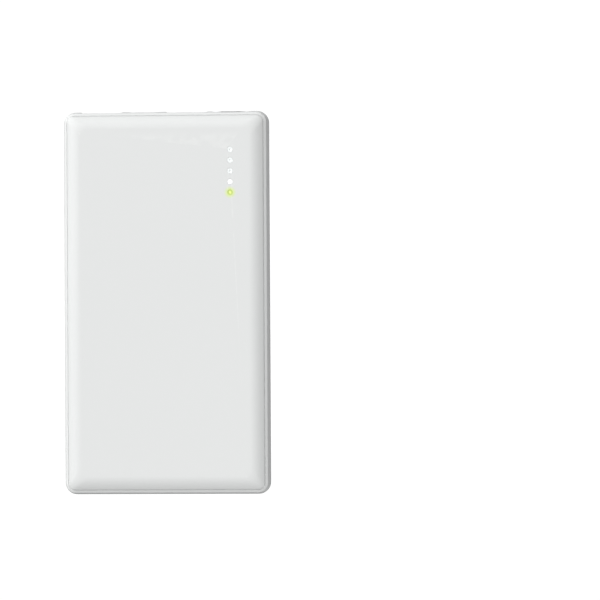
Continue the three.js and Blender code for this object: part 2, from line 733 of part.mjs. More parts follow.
// A lead from the small board on the cells, over the fence and down to the charging board.
function batteryLead(x) {
  const radius = 0.6;
  const boardTop = CELL_BOARD.bottom + CELL_BOARD.thickness;
  const start = new THREE.Vector3(x, TERRACE_END - 1.5, boardTop + 0.4);
  const end = new THREE.Vector3(x, BOARD_START + 2.2, BOARD_TOP + 0.4);
  const path = new THREE.CubicBezierCurve3(
    start,
    start.clone().add(new THREE.Vector3(0, 0, 2.4)),
    end.clone().add(new THREE.Vector3(0, 0, 7.5)),
    end);
  const section = new THREE.Shape().absarc(0, 0, radius, 0, Math.PI * 2);
  const geometry = new THREE.ExtrudeGeometry(
    section, { steps: 10, curveSegments: 5, bevelEnabled: false, extrudePath: path });
  return solid(geometry);
}

function batteryPack() {
  const halfTape = TAPE_THICKNESS / 2;
  const cellMiddle = CELL.start + CELL.length / 2;
  const upper = piece('battery_cell_upper', pouchCell(), 'pouchFoil');
  upper.position.set(0, cellMiddle, STACK_MIDDLE + halfTape + REST_GAP);
  const lower = piece('battery_cell_lower', pouchCell(), 'pouchFoil');
  lower.position.set(0, cellMiddle, STACK_MIDDLE - halfTape - REST_GAP);
  lower.rotation.y = Math.PI;
  const { tapeSize, adhesiveSize, foamSize } = PACK_SHEETS;
  const tape = piece('cell_tape', sheet(...tapeSize, TAPE_THICKNESS, 1), 'tapeFilm');
  tape.position.set(0, cellMiddle, STACK_MIDDLE - halfTape);
  const adhesive = piece('cell_adhesive', sheet(...adhesiveSize, TAPE_THICKNESS, 1), 'tapeFilm');
  adhesive.position.set(0, cellMiddle, FLOOR_TOP + REST_GAP);
  const foam = piece('foam_pad', sheet(...foamSize, FOAM_THICKNESS, 2), 'greyFoam');
  foam.position.set(0, cellMiddle, CEILING - REST_GAP - FOAM_THICKNESS);

  const boardY = TERRACE_END - 0.1 - CELL_BOARD.length / 2;
  const boardShape = sheet(CELL_BOARD.width, CELL_BOARD.length, CELL_BOARD.thickness, 0.3);
  const board = piece('cell_board', boardShape, 'boardGreen');
  board.position.set(0, boardY, CELL_BOARD.bottom);
  const guard = piece('cell_board_chip', softBlock(3, 1.6, 1, 0.15, 0.08), 'blackPlastic');
  guard.position.set(6, boardY, CELL_BOARD.bottom + CELL_BOARD.thickness + REST_GAP);

  const tabPlace = 15;
  const positiveTab = piece('tab_positive', cellTab(), 'nickel');
  positiveTab.position.x = tabPlace;
  const negativeTab = piece('tab_negative', cellTab(), 'nickel');
  negativeTab.position.x = -tabPlace;
  return assemble(
    upper, lower, tape, adhesive, foam, board, guard, positiveTab, negativeTab,
    piece('lead_positive', batteryLead(-1.5), 'redInsulation'),
    piece('lead_negative', batteryLead(-5), 'blackInsulation'));
}

// ---------------------------------------------------------------- the whole power bank

const powerBank = assemble(
  piece('bottom_case', bottomCase(), 'whiteShell'),
  piece('top_cover', topCover(), 'whiteShell'),
  statusLights(),
  usbASockets(),
  usbCSocket(),
  pushButton(),
  mainBoard(),
  insulationSheet(),
  boardParts(),
  boardScrews(),
  batteryPack());
powerBank.name = 'power_bank';

export default powerBank;
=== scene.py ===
"""Looks of a slim power bank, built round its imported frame.

Sizes are in millimetres until a mesh is finished. X runs across the width, +Y points to the
end with the sockets and +Z comes out of the cover.
"""

import logging
import math
from collections.abc import Callable, Iterable, Sequence
from dataclasses import dataclass, field
from enum import Enum
from functools import cache
from typing import Any, NamedTuple

import bmesh
import bpy
from mathutils import Matrix, Vector, noise


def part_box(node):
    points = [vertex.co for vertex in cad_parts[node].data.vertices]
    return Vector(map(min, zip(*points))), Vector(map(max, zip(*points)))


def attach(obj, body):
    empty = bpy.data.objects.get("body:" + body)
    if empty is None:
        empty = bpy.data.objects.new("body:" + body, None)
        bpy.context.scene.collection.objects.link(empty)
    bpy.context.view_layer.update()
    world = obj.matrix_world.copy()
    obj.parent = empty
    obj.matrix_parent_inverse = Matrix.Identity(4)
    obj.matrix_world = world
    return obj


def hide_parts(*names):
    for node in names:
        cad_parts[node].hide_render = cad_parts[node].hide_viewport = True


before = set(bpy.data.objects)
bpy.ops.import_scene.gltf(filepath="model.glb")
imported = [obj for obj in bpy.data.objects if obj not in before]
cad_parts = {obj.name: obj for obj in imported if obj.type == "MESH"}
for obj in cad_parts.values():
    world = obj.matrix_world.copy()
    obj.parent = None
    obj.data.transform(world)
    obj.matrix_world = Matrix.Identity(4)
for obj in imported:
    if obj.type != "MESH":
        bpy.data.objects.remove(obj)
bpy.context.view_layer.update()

LOG = logging.getLogger("power_bank")
MM = 0.001
QUARTER = math.pi / 2
SMALLEST_GAP = 0.01
MERGE_GAP = 2e-4
SCREW_COUNT = 4
LIGHT_COUNT = 5
Triple = tuple[float, float, float]
Colour = Triple
Point = tuple[float, float]
Wire = bpy.types.NodeSocket


# ------------------------------------------------------------------ where things sit


@dataclass(frozen=True)
class Seat:
    """The box that a node of the frame fills, in millimetres."""

    low: Vector
    high: Vector

    @classmethod
    def of(cls, node: str) -> "Seat":
        """The box of the node with this name."""
        low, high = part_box(node)
        return cls(low / MM, high / MM)

    @property
    def centre(self) -> Vector:
        """The middle of the box."""
        return (self.low + self.high) / 2

    @property
    def size(self) -> Vector:
        """The box's width, length and height."""
        return self.high - self.low

    @property
    def foot(self) -> Vector:
        """The middle of the box's underside."""
        return Vector((self.centre.x, self.centre.y, self.low.z))

    def mouth(self, half_width: float, half_height: float) -> "Seat":
        """An upright opening of this size round the middle of the box."""
        x, z = self.centre.x, self.centre.z
        return Seat(Vector((x - half_width, 0, z - half_height)),
                    Vector((x + half_width, 0, z + half_height)))


class Axis(Enum):
    """The direction that a body is built along."""

    UP = "up"
    OUT = "out"

    def place(self, across: float, rise: float, along: float) -> Vector:
        """The point at these places in the section and along the axis."""
        if self is Axis.UP:
            return Vector((across, rise, along))
        return Vector((across, along, rise))


class Combining(Enum):
    """How two bodies make one."""

    JOIN = "UNION"
    CUT = "DIFFERENCE"


class Section(NamedTuple):
    """One round-cornered section of a lofted body."""

    half_width: float
    half_height: float
    radius: float
    along: float


# ------------------------------------------------------------------ meshes


def rounded_outline(section: Section, steps: int) -> list[Point]:
    """Points round a rectangle with round corners, anticlockwise.

    Args:
        section: The rectangle's half sizes and corner radius.
        steps: Facets round each corner.

    Returns:
        The points, with steps + 1 of them at each corner.
    """
    room = min(section.half_width, section.half_height) - SMALLEST_GAP
    radius = max(min(section.radius, room), SMALLEST_GAP)
    points = []
    for quarter, (right, top) in enumerate(((1, 1), (-1, 1), (-1, -1), (1, -1))):
        for step in range(steps + 1):
            angle = (quarter + step / steps) * QUARTER
            points.append((
                right * (section.half_width - radius) + radius * math.cos(angle),
                top * (section.half_height - radius) + radius * math.sin(angle),
            ))
    return points


def rounding(edge: float, steps: int = 4) -> list[Point]:
    """A quarter round from a flat face to a side, as steps back from the side and the face."""
    turns = [QUARTER * step / steps for step in range(steps + 1)]
    return [(edge * (1 - math.sin(turn)), edge * (1 - math.cos(turn))) for turn in turns]


def bent(first: Point, bend: Point, last: Point, steps: int) -> list[Point]:
    """Points along a curve that leaves the first point towards the bend, without the first."""
    shares = [step / steps for step in range(1, steps + 1)]
    return [
        tuple(
            start * (1 - share) ** 2 + middle * 2 * share * (1 - share) + end * share**2
            for start, middle, end in zip(first, bend, last))
        for share in shares
    ]


def moved(place: Sequence[float], angle: float, axis: str = "Z") -> Matrix:
    """A turn about an axis, then a move to a place."""
    return Matrix.Translation(place) @ Matrix.Rotation(angle, 4, axis)


def numbered(name: str, count: int) -> list[str]:
    """The names of the frame's nodes that share this name."""
    return [f"{name}_{number}" for number in range(1, count + 1)]


class Body:
    """A mesh in the making, in millimetres."""

    def __init__(self) -> None:
        """Starts with nothing."""
        self.mesh = bmesh.new()

    def loft_through(self, rings: Sequence[Sequence[Vector]], look: int = 0) -> "Body":
        """Adds a closed body through rings of the same number of points.

        Args:
            rings: The rings in order. The first and last are filled in.
            look: Which of the piece's materials the new faces take.

        Returns:
            This body.
        """
        made = [[self.mesh.verts.new(point) for point in ring] for ring in rings]
        faces = [self.mesh.faces.new(made[0][::-1]), self.mesh.faces.new(made[-1])]
        around = len(made[0])
        for lower, upper in zip(made, made[1:]):
            for here in range(around):
                beside = (here + 1) % around
                corners = (lower[here], lower[beside], upper[beside], upper[here])
                faces.append(self.mesh.faces.new(corners))
        for face in faces:
            face.material_index = look
        return self

    def loft(
        self,
        sections: Sequence[Section],
        axis: Axis = Axis.UP,
        centre: Point = (0.0, 0.0),
        steps: int = 6,
        look: int = 0,
    ) -> "Body":
        """Adds a closed body through round-cornered sections.

        Args:
            sections: The sections in order along the axis.
            axis: The direction that the body is built along.
            centre: The middle of every section.
            steps: Facets round each corner.
            look: Which of the piece's materials the new faces take.

        Returns:
            This body.
        """
        rings = [
            [
                axis.place(centre[0] + across, centre[1] + rise, section.along)
                for across, rise in rounded_outline(section, steps)
            ]
            for section in sections
        ]
        return self.loft_through(rings, look)

    def block(
        self,
        size: Sequence[float],
        base: Sequence[float],
        corner: float = 0.2,
        edge: float = 0.08,
        axis: Axis = Axis.UP,
        look: int = 0,
    ) -> "Body":
        """Adds a block with round corners and rounded edges.

        Args:
            size: Width and height of its section, and its length along the axis.
            base: The middle of its first end, in the same order.
            corner: Radius of its corners.
            edge: Radius of the edges of its two ends.
            axis: The direction that it is built along.
            look: Which of the piece's materials the new faces take.

        Returns:
            This body.
        """
        half_width, half_height = size[0] / 2, size[1] / 2
        first = [
            Section(half_width - back, half_height - back, corner - back, base[2] + rise)
            for back, rise in rounding(edge)
        ]
        last = [
            Section(half_width - back, half_height - back, corner - back,
                    base[2] + size[2] - rise)
            for back, rise in reversed(rounding(edge))
        ]
        return self.loft([*first, *last], axis, (base[0], base[1]), 4, look)

    def turned(
        self,
        profile: Iterable[Point],
        centre: Point,
        facets: int = 32,
        axis: Axis = Axis.UP,
        look: int = 0,
    ) -> "Body":
        """Adds a turned body.

        Args:
            profile: Its radius and place along the axis, in order.
            centre: The place of its axis.
            facets: Facets round it.
            axis: The direction of its axis.
            look: Which of the piece's materials the new faces take.

        Returns:
            This body.
        """
        turns = [2 * math.pi * step / facets for step in range(facets)]
        rings = [
            [
                axis.place(
                    centre[0] + radius * math.cos(turn), centre[1] + radius * math.sin(turn), along)
                for turn in turns
            ]
            for radius, along in profile
        ]
        return self.loft_through(rings, look)

    def swept(
        self, path: Sequence[Vector], radii: Sequence[float], facets: int = 16, look: int = 0
    ) -> "Body":
        """Adds a round bar along a path.

        Args:
            path: Points along its middle.
            radii: Its radius at each point.
            facets: Facets round it.
            look: Which of the piece's materials the new faces take.

        Returns:
            This body.
        """
        side = Vector((1, 0, 0))
        rings = []
        for number, (point, radius) in enumerate(zip(path, radii)):
            before, after = path[max(number - 1, 0)], path[min(number + 1, len(path) - 1)]
            ahead = (after - before).normalized()
            side = (side - ahead * side.dot(ahead)).normalized()
            other = ahead.cross(side)
            rings.append([
                point + radius * (side * math.cos(turn) + other * math.sin(turn))
                for turn in (2 * math.pi * step / facets for step in range(facets))
            ])
        return self.loft_through(rings, look)

    def prism(
        self, outline: Sequence[Point], length: float, turn: Matrix, look: int = 0
    ) -> "Body":
        """Adds a prism whose outline is in X and Z, centred along Y.

        Args:
            outline: The outline's corners.
            length: Its length.
            turn: Where it goes from there.
            look: Which of the piece's materials the new faces take.

        Returns:
            This body.
        """
        rings = [
            [turn @ Vector((across, along, rise)) for across, rise in outline]
            for along in (-length / 2, length / 2)
        ]
        return self.loft_through(rings, look)

    def combined(self, other: "Body", how: Combining) -> "Body":
        """Joins the other body to this one, or cuts it out.

        Args:
            other: The other body, which is used up.
            how: Whether it is joined or cut out.

        Returns:
            This body.
        """
        piece, tool = self.placed("part"), other.placed("tool")
        modifier = piece.modifiers.new("combine", "BOOLEAN")
        modifier.object = tool
        modifier.operation = how.value
        modifier.solver = "EXACT"
        graph = bpy.context.evaluated_depsgraph_get()
        result = bpy.data.meshes.new_from_object(piece.evaluated_get(graph))
        self.mesh = bmesh.new()
        self.mesh.from_mesh(result)
        bmesh.ops.remove_doubles(self.mesh, verts=self.mesh.verts, dist=MERGE_GAP)
        bmesh.ops.dissolve_degenerate(self.mesh, edges=self.mesh.edges, dist=MERGE_GAP)
        for spent in (piece.data, tool.data, result):
            bpy.data.meshes.remove(spent)
        if not self.mesh.faces:
            raise RuntimeError("nothing is left of a combined body")
        return self

    def placed(self, name: str, scale: float = 1.0) -> bpy.types.Object:
        """The body as an object of the scene, which uses the body up.

        Args:
            name: The object's name.
            scale: What its sizes are multiplied by.

        Returns:
            The object.
        """
        bmesh.ops.recalc_face_normals(self.mesh, faces=self.mesh.faces)
        bmesh.ops.scale(self.mesh, vec=(scale,) * 3, verts=self.mesh.verts)
        mesh = bpy.data.meshes.new(name)
        self.mesh.to_mesh(mesh)
        self.mesh.free()
        piece = bpy.data.objects.new(name, mesh)
        bpy.context.scene.collection.objects.link(piece)
        return piece


# ------------------------------------------------------------------ shader graphs


class Graph:
    """Adds the nodes of one shader tree."""

    def __init__(self, tree: bpy.types.NodeTree) -> None:
        """Works on this tree."""
        self.tree = tree

    def add(
        self, kind: str, inputs: dict[str | int, Any] | None = None, **settings: Any
    ) -> bpy.types.Node:
        """Adds one node.

        Args:
            kind: Blender's name for it, without its first part.
            inputs: A value, or a socket to link, for each input.
            **settings: The node's own settings.

        Returns:
            The node.
        """
        node = self.tree.nodes.new(f"ShaderNode{kind}")
        for name, setting in settings.items():
            setattr(node, name, setting)
        for name, given in (inputs or {}).items():
            if isinstance(given, Wire):
                self.tree.links.new(given, node.inputs[name])
            else:
                node.inputs[name].default_value = given
        return node

    def sum(self, operation: str, *terms: Any) -> Wire:
        """The result of one Math node."""
        return self.add("Math", dict(enumerate(terms)), operation=operation).outputs[0]

    def eased(
        self, given: Any, start: float, end: float, low: Any = 0.0, high: Any = 1.0
    ) -> Wire:
        """A value that goes smoothly from low to high as the given one goes from start to end."""
        return self.add(
            "MapRange",
            {"Value": given, "From Min": start, "From Max": end, "To Min": low, "To Max": high},
            interpolation_type="SMOOTHSTEP",
        ).outputs[0]

    def blended(self, share: Any, first: Any, second: Any) -> Wire:
        """A colour between two others."""
        return self.add("Mix", {0: share, 6: first, 7: second}, data_type="RGBA").outputs[2]

    def places(self, stretch: Sequence[float] = (1, 1, 1)) -> Wire:
        """The place on the piece in metres, divided by a stretch along each axis."""
        spot = self.add("TexCoord").outputs["Object"]
        return self.add("VectorMath", {0: spot, 1: tuple(stretch)}, operation="DIVIDE").outputs[0]

    def cloud(
        self, size: Any, detail: float = 2.0, stretch: Sequence[float] = (1, 1, 1),
        distortion: float = 0.0,
    ) -> Wire:
        """Smooth noise from 0 to 1.

        Args:
            size: How far apart its lumps are, in millimetres.
            detail: How many finer layers it has.
            stretch: How much longer it is along each axis.
            distortion: How far it is stirred.

        Returns:
            The socket that carries it.
        """
        scale = self.sum("DIVIDE", 1 / MM, size)
        return self.add(
            "TexNoise",
            {"Vector": self.places(stretch), "Scale": scale, "Detail": detail,
             "Distortion": distortion},
        ).outputs[0]

    def cells(self, size: Any, feature: str = "F1") -> bpy.types.Node:
        """A node of random cells of this size in millimetres."""
        scale = self.sum("DIVIDE", 1 / MM, size)
        return self.add("TexVoronoi", {"Vector": self.places(), "Scale": scale}, feature=feature)


class SocketKind(Enum):
    """The kinds of socket that an effect has."""

    VALUE = "NodeSocketFloat"
    COLOUR = "NodeSocketColor"

    @classmethod
    def of(cls, name: str) -> "SocketKind":
        """The kind of the socket with this name."""
        return cls.COLOUR if name == "Colour" else cls.VALUE


Sockets = dict[str, Wire]
Maker = Callable[[Graph, Sockets], Wire]


@dataclass(frozen=True)
class Effect:
    """A surface effect that several finishes share, as a node group with named sockets."""

    output: str
    inputs: tuple[str, ...]
    make: Maker

    @cache
    def tree(self) -> bpy.types.NodeTree:
        """The node group, made the first time it is asked for."""
        tree = bpy.data.node_groups.new(self.make.__name__, "ShaderNodeTree")
        for way, names in (("INPUT", self.inputs), ("OUTPUT", (self.output,))):
            for name in names:
                kind = SocketKind.of(name)
                tree.interface.new_socket(name=name, in_out=way, socket_type=kind.value)
        start, end = tree.nodes.new("NodeGroupInput"), tree.nodes.new("NodeGroupOutput")
        given = {name: start.outputs[name] for name in self.inputs}
        tree.links.new(self.make(Graph(tree), given), end.inputs[self.output])
        return tree

    def on(self, graph: Graph, **values: Any) -> Wire:
        """Places the effect in a material.

        Args:
            graph: The material's graph.
            **values: What each of its inputs gets.

        Returns:
            Its output.
        """
        node = graph.tree.nodes.new("ShaderNodeGroup")
        node.node_tree = self.tree()
        for name, value in values.items():
            if isinstance(value, Wire):
                graph.tree.links.new(value, node.inputs[name])
            else:
                node.inputs[name].default_value = value
        return node.outputs[0]


def effect(output: str, *inputs: str) -> Callable[[Maker], Effect]:
    """Makes an effect of the function that adds its nodes.

    Args:
        output: The name of its output.
        *inputs: The names of its inputs.

    Returns:
        A decorator for the function.
    """
    return lambda make: Effect(output, inputs, make)


@effect("Colour", "Colour", "Size", "Amount")
def tone_drift(graph: Graph, given: Sockets) -> Wire:
    """A colour whose brightness drifts slowly over the surface."""
    drift = graph.sum("SUBTRACT", graph.cloud(given["Size"], 4.0), 0.5)
    bright = graph.sum("MULTIPLY_ADD", drift, given["Amount"], 1.0)
    return graph.add("HueSaturation", {"Value": bright, "Color": given["Colour"]}).outputs[0]


@effect("Height", "Size", "Depth")
def moulded_grain(graph: Graph, given: Sockets) -> Wire:
    """Fine relief that a spark-eroded mould leaves."""
    soft = graph.cloud(given["Size"], 5.0)
    pits = graph.cells(given["Size"]).outputs["Distance"]
    both = graph.sum("MULTIPLY_ADD", pits, 0.5, soft)
    return graph.sum("MULTIPLY", both, graph.sum("MULTIPLY", given["Depth"], MM))


@effect("Change", "Size", "Amount")
def handling(graph: Graph, given: Sockets) -> Wire:
    """How much duller a surface is where hands have been."""
    patches = graph.eased(graph.cloud(given["Size"], 6.0, (1, 1, 1), 0.6), 0.42, 0.7)
    return graph.sum("MULTIPLY", patches, given["Amount"])


@effect("Mask", "Size", "Amount")
def edge_wear(graph: Graph, given: Sockets) -> Wire:
    """A mask along worn outer edges."""
    sharp = graph.eased(graph.add("NewGeometry").outputs["Pointiness"], 0.515, 0.6)
    broken = graph.eased(graph.cloud(given["Size"], 4.0), 0.35, 0.65)
    return graph.sum("MULTIPLY", graph.sum("MULTIPLY", sharp, broken), given["Amount"])


@effect("Mask", "Size", "Amount")
def settled_dust(graph: Graph, given: Sockets) -> Wire:
    """A mask of fine specks on faces that look up."""
    split = graph.add("SeparateXYZ", {0: graph.add("NewGeometry").outputs["Normal"]})
    upward = graph.eased(split.outputs["Z"], 0.2, 0.9)
    specks = graph.eased(graph.cells(given["Size"]).outputs["Distance"], 0.16, 0.05)
    thin = graph.eased(graph.cloud(14.0, 3.0), 0.5, 0.75)
    mask = graph.sum("MULTIPLY", graph.sum("MULTIPLY", upward, specks), thin)
    return graph.sum("MULTIPLY", mask, given["Amount"])


@effect("Height", "Spacing", "Depth")
def hairlines(graph: Graph, given: Sockets) -> Wire:
    """The depth of a few long fine scratches that run two ways."""
    lines = []
    for stretch in ((1.0, 60.0, 1.0), (40.0, 1.0, 1.0)):
        band = graph.sum("SUBTRACT", graph.cloud(given["Spacing"], 1.0, stretch), 0.5)
        lines.append(graph.eased(graph.sum("ABSOLUTE", band), 0.0, 0.006, -1.0, 0.0))
    few = graph.eased(graph.cloud(11.0, 2.0), 0.5, 0.62)
    both = graph.sum("MULTIPLY", graph.sum("ADD", *lines), few)
    return graph.sum("MULTIPLY", both, graph.sum("MULTIPLY", given["Depth"], MM))


@effect("Mask", "X", "Y", "Inner", "Outer")
def round_spot(graph: Graph, given: Sockets) -> Wire:
    """A round spot that fades from an inner to an outer radius, about an upright axis."""
    centre = graph.add("CombineXYZ", {"X": given["X"], "Y": given["Y"]}).outputs[0]
    flat = graph.add(
        "VectorMath", {0: graph.add("TexCoord").outputs["Object"], 1: (1, 1, 0)},
        operation="MULTIPLY").outputs[0]
    away = graph.add("VectorMath", {0: flat, 1: centre}, operation="DISTANCE").outputs["Value"]
    return graph.eased(away, given["Inner"], given["Outer"], 1.0, 0.0)


@effect("Height", "Width", "Depth")
def rolled_streaks(graph: Graph, given: Sockets) -> Wire:
    """Streaks that rolling leaves along sheet metal."""
    streaks = graph.cloud(given["Width"], 3.0, (1.0, 40.0, 1.0))
    return graph.sum("MULTIPLY", streaks, graph.sum("MULTIPLY", given["Depth"], MM))


# ------------------------------------------------------------------ finishes

WEAR_SIZE = 3.0
DUST_SIZE = 0.9
DUST_COLOUR: Colour = (0.55, 0.53, 0.5)
DUST_DULLNESS = 0.3
SCRATCH_SPACING = 0.9


def paint(colour: Colour) -> tuple[float, float, float, float]:
    """A colour with the fourth number that sockets want."""
    return (*colour, 1.0)


@dataclass(frozen=True)
class Finish:
    """A finish, with the effects that all of them share. Depths and sizes are in mm."""

    name: str
    colour: Colour
    roughness: float = 0.4
    metallic: float = 0.0
    specular: float = 0.5
    drift: float = 0.02
    drift_size: float = 18.0
    grain_size: float = 0.3
    grain_depth: float = 0.003
    handling: float = 0.06
    handling_size: float = 16.0
    wear: float = 0.15
    wear_colour: Colour = (0.8, 0.8, 0.8)
    dust: float = 0.06
    scratch_depth: float = 0.0

    def tone(self, graph: Graph) -> Wire:
        """The finish's own colour over the surface."""
        return tone_drift.on(
            graph, Colour=paint(self.colour), Size=self.drift_size, Amount=self.drift)

    def relief(self, graph: Graph) -> Wire:
        """The finish's own height over the surface, in metres."""
        grain = moulded_grain.on(graph, Size=self.grain_size, Depth=self.grain_depth)
        if not self.scratch_depth:
            return grain
        lines = hairlines.on(graph, Spacing=SCRATCH_SPACING, Depth=self.scratch_depth)
        return graph.sum("ADD", grain, lines)

    def light(self, graph: Graph, shader: bpy.types.Node) -> None:
        """Adds what the finish gives off, if anything."""

    @cache
    def material(self) -> bpy.types.Material:
        """The finish as a material, made the first time it is asked for."""
        material = bpy.data.materials.new(self.name)
        material.use_nodes = True
        graph = Graph(material.node_tree)
        shader = material.node_tree.nodes["Principled BSDF"]
        shader.inputs["Metallic"].default_value = self.metallic
        shader.inputs["Specular IOR Level"].default_value = self.specular
        wear = edge_wear.on(graph, Size=WEAR_SIZE, Amount=self.wear)
        dust = settled_dust.on(graph, Size=DUST_SIZE, Amount=self.dust)
        worn = graph.blended(wear, self.tone(graph), paint(self.wear_colour))
        dusty = graph.blended(dust, worn, paint(DUST_COLOUR))
        graph.tree.links.new(dusty, shader.inputs["Base Color"])
        touched = handling.on(graph, Size=self.handling_size, Amount=self.handling)
        bare = graph.sum("ADD", touched, self.roughness)
        dull = graph.sum("MULTIPLY_ADD", dust, DUST_DULLNESS, bare)
        graph.tree.links.new(dull, shader.inputs["Roughness"])
        bump = graph.add("Bump", {"Distance": 1.0, "Height": self.relief(graph)})
        graph.tree.links.new(bump.outputs[0], shader.inputs["Normal"])
        self.light(graph, shader)
        return material


@dataclass(frozen=True)
class CoverWithPaintedGlow(Finish):
    """White plastic with the glow of one lit status light painted into its colour round it."""

    lamp: str = "light_pipe_5"
    # colour of the glow that is painted round the lamp, and the radii where it starts and ends
    glow: Colour = (0.72, 0.83, 0.38)
    painted_glow_start: float = 0.9
    painted_glow_end: float = 2.3

    def tone(self, graph: Graph) -> Wire:
        """The cover's colour, with the lamp's glow painted into it round the lamp."""
        lamp = Seat.of(self.lamp).centre * MM
        spot = round_spot.on(
            graph, X=lamp.x, Y=lamp.y, Inner=self.painted_glow_start * MM, Outer=self.painted_glow_end * MM)
        return graph.blended(spot, super().tone(graph), paint(self.glow))


@dataclass(frozen=True)
class PipeEnd(Finish):
    """The end of a light pipe, with a core that differs from the ring round it."""

    lamps: tuple[str, ...] = ()
    core: Colour = (0.7, 0.7, 0.7)
    core_radius: float = 0.35
    ring_light: Colour = (0.0, 0.0, 0.0)
    core_light: Colour = (0.0, 0.0, 0.0)

    def core_mask(self, graph: Graph) -> Wire:
        """A mask of the cores of all the pipes that have this finish."""
        mask: Any = 0.0
        for lamp in self.lamps:
            place = Seat.of(lamp).centre * MM
            inner, outer = self.core_radius * 0.6 * MM, self.core_radius * 1.3 * MM
            spot = round_spot.on(graph, X=place.x, Y=place.y, Inner=inner, Outer=outer)
            mask = graph.sum("MAXIMUM", mask, spot)
        return mask

    def tone(self, graph: Graph) -> Wire:
        """The pipe's colour, with its core."""
        return graph.blended(self.core_mask(graph), super().tone(graph), paint(self.core))

    def light(self, graph: Graph, shader: bpy.types.Node) -> None:
        """Adds the light that comes out of the pipe."""
        if not any(self.core_light):
            return
        shown = graph.blended(
            self.core_mask(graph), paint(self.ring_light), paint(self.core_light))
        graph.tree.links.new(shown, shader.inputs["Emission Color"])
        shader.inputs["Emission Strength"].default_value = 1.0


@dataclass(frozen=True)
class RolledMetal(Finish):
    """Sheet metal with streaks along its rolling direction."""

    metallic: float = 1.0
    streak_width: float = 0.12
    streak_depth: float = 0.002

    def relief(self, graph: Graph) -> Wire:
        """Streaks over the grain."""
        streaks = rolled_streaks.on(graph, Width=self.streak_width, Depth=self.streak_depth)
        return graph.sum("ADD", super().relief(graph), streaks)


@dataclass(frozen=True)
class CircuitBoard(Finish):
    """Solder resist over copper tracks that run in bundles, one way or the other."""

    track_pitch: float = 0.9
    bundle_size: float = 6.5
    track_height: float = 0.03
    track_colour: Colour = (0.03, 0.2, 0.09)

    def tracks(self, graph: Graph) -> Wire:
        """A mask of the tracks."""
        split = graph.add("SeparateXYZ", {0: graph.places((self.track_pitch * MM,) * 3)})
        lines = [
            graph.eased(graph.sum("PINGPONG", split.outputs[way], 0.5), 0.22, 0.28)
            for way in ("X", "Y")
        ]
        bundles = graph.cells(self.bundle_size)
        bundles.distance = "CHEBYCHEV"
        shade = graph.add("SeparateColor", {0: bundles.outputs["Color"]})
        way = graph.sum("GREATER_THAN", shade.outputs[0], 0.5)
        copper = graph.sum("GREATER_THAN", shade.outputs[1], 0.72)
        chosen = graph.add("Mix", {0: way, 2: lines[0], 3: lines[1]}, data_type="FLOAT")
        return graph.sum("MAXIMUM", chosen.outputs[0], copper)

    def tone(self, graph: Graph) -> Wire:
        """Resist that is lighter over copper."""
        return graph.blended(
            self.tracks(graph), super().tone(graph), paint(self.track_colour))

    def relief(self, graph: Graph) -> Wire:
        """Tracks stand a little proud."""
        raised = graph.sum("MULTIPLY", self.tracks(graph), self.track_height * MM)
        return graph.sum("ADD", super().relief(graph), raised)


@dataclass(frozen=True)
class CrinkledFoil(Finish):
    """The aluminium laminate of a pouch cell."""

    metallic: float = 0.9
    crinkle_size: float = 5.0
    crinkle_depth: float = 0.08

    def relief(self, graph: Graph) -> Wire:
        """Soft crinkles over the grain."""
        folds = graph.cloud(self.crinkle_size, 5.0, (1, 1, 1), 0.8)
        ridges = graph.sum("ABSOLUTE", graph.sum("SUBTRACT", folds, 0.5))
        crinkles = graph.sum("MULTIPLY", ridges, self.crinkle_depth * MM)
        return graph.sum("ADD", super().relief(graph), crinkles)


@dataclass(frozen=True)
class OpenFoam(Finish):
    """Foam with open pores."""

    pore_size: float = 0.5
    pore_depth: float = 0.12
    # colour of the shade painted into the pores
    pore_shade_colour: Colour = (0.012, 0.013, 0.014)

    def pores(self, graph: Graph) -> Wire:
        """A mask of the pores."""
        return graph.eased(graph.cells(self.pore_size).outputs["Distance"], 0.5, 0.1)

    def tone(self, graph: Graph) -> Wire:
        """Painted shade darkens the pores."""
        return graph.blended(self.pores(graph), super().tone(graph), paint(self.pore_shade_colour))

    def relief(self, graph: Graph) -> Wire:
        """Pores are sunk."""
        sunk = graph.sum("MULTIPLY", self.pores(graph), -self.pore_depth * MM)
        return graph.sum("ADD", super().relief(graph), sunk)


@dataclass(frozen=True)
class FibreFilm(Finish):
    """Paper or tape with short fibres that lie two ways."""

    fibre_size: float = 0.25
    fibre_tone: Colour = (0.4, 0.35, 0.25)
    fibre_share: float = 0.5
    fibre_height: float = 0.01

    def fibres(self, graph: Graph) -> Wire:
        """A mask of the fibres."""
        ways = [
            graph.eased(graph.cloud(self.fibre_size, 2.0, stretch), 0.55, 0.8)
            for stretch in ((14.0, 1.0, 1.0), (1.0, 12.0, 1.0))
        ]
        return graph.sum("MAXIMUM", *ways)

    def tone(self, graph: Graph) -> Wire:
        """Fibres show a little."""
        share = graph.sum("MULTIPLY", self.fibres(graph), self.fibre_share)
        return graph.blended(share, super().tone(graph), paint(self.fibre_tone))

    def relief(self, graph: Graph) -> Wire:
        """Fibres stand a little proud."""
        raised = graph.sum("MULTIPLY", self.fibres(graph), self.fibre_height * MM)
        return graph.sum("ADD", super().relief(graph), raised)


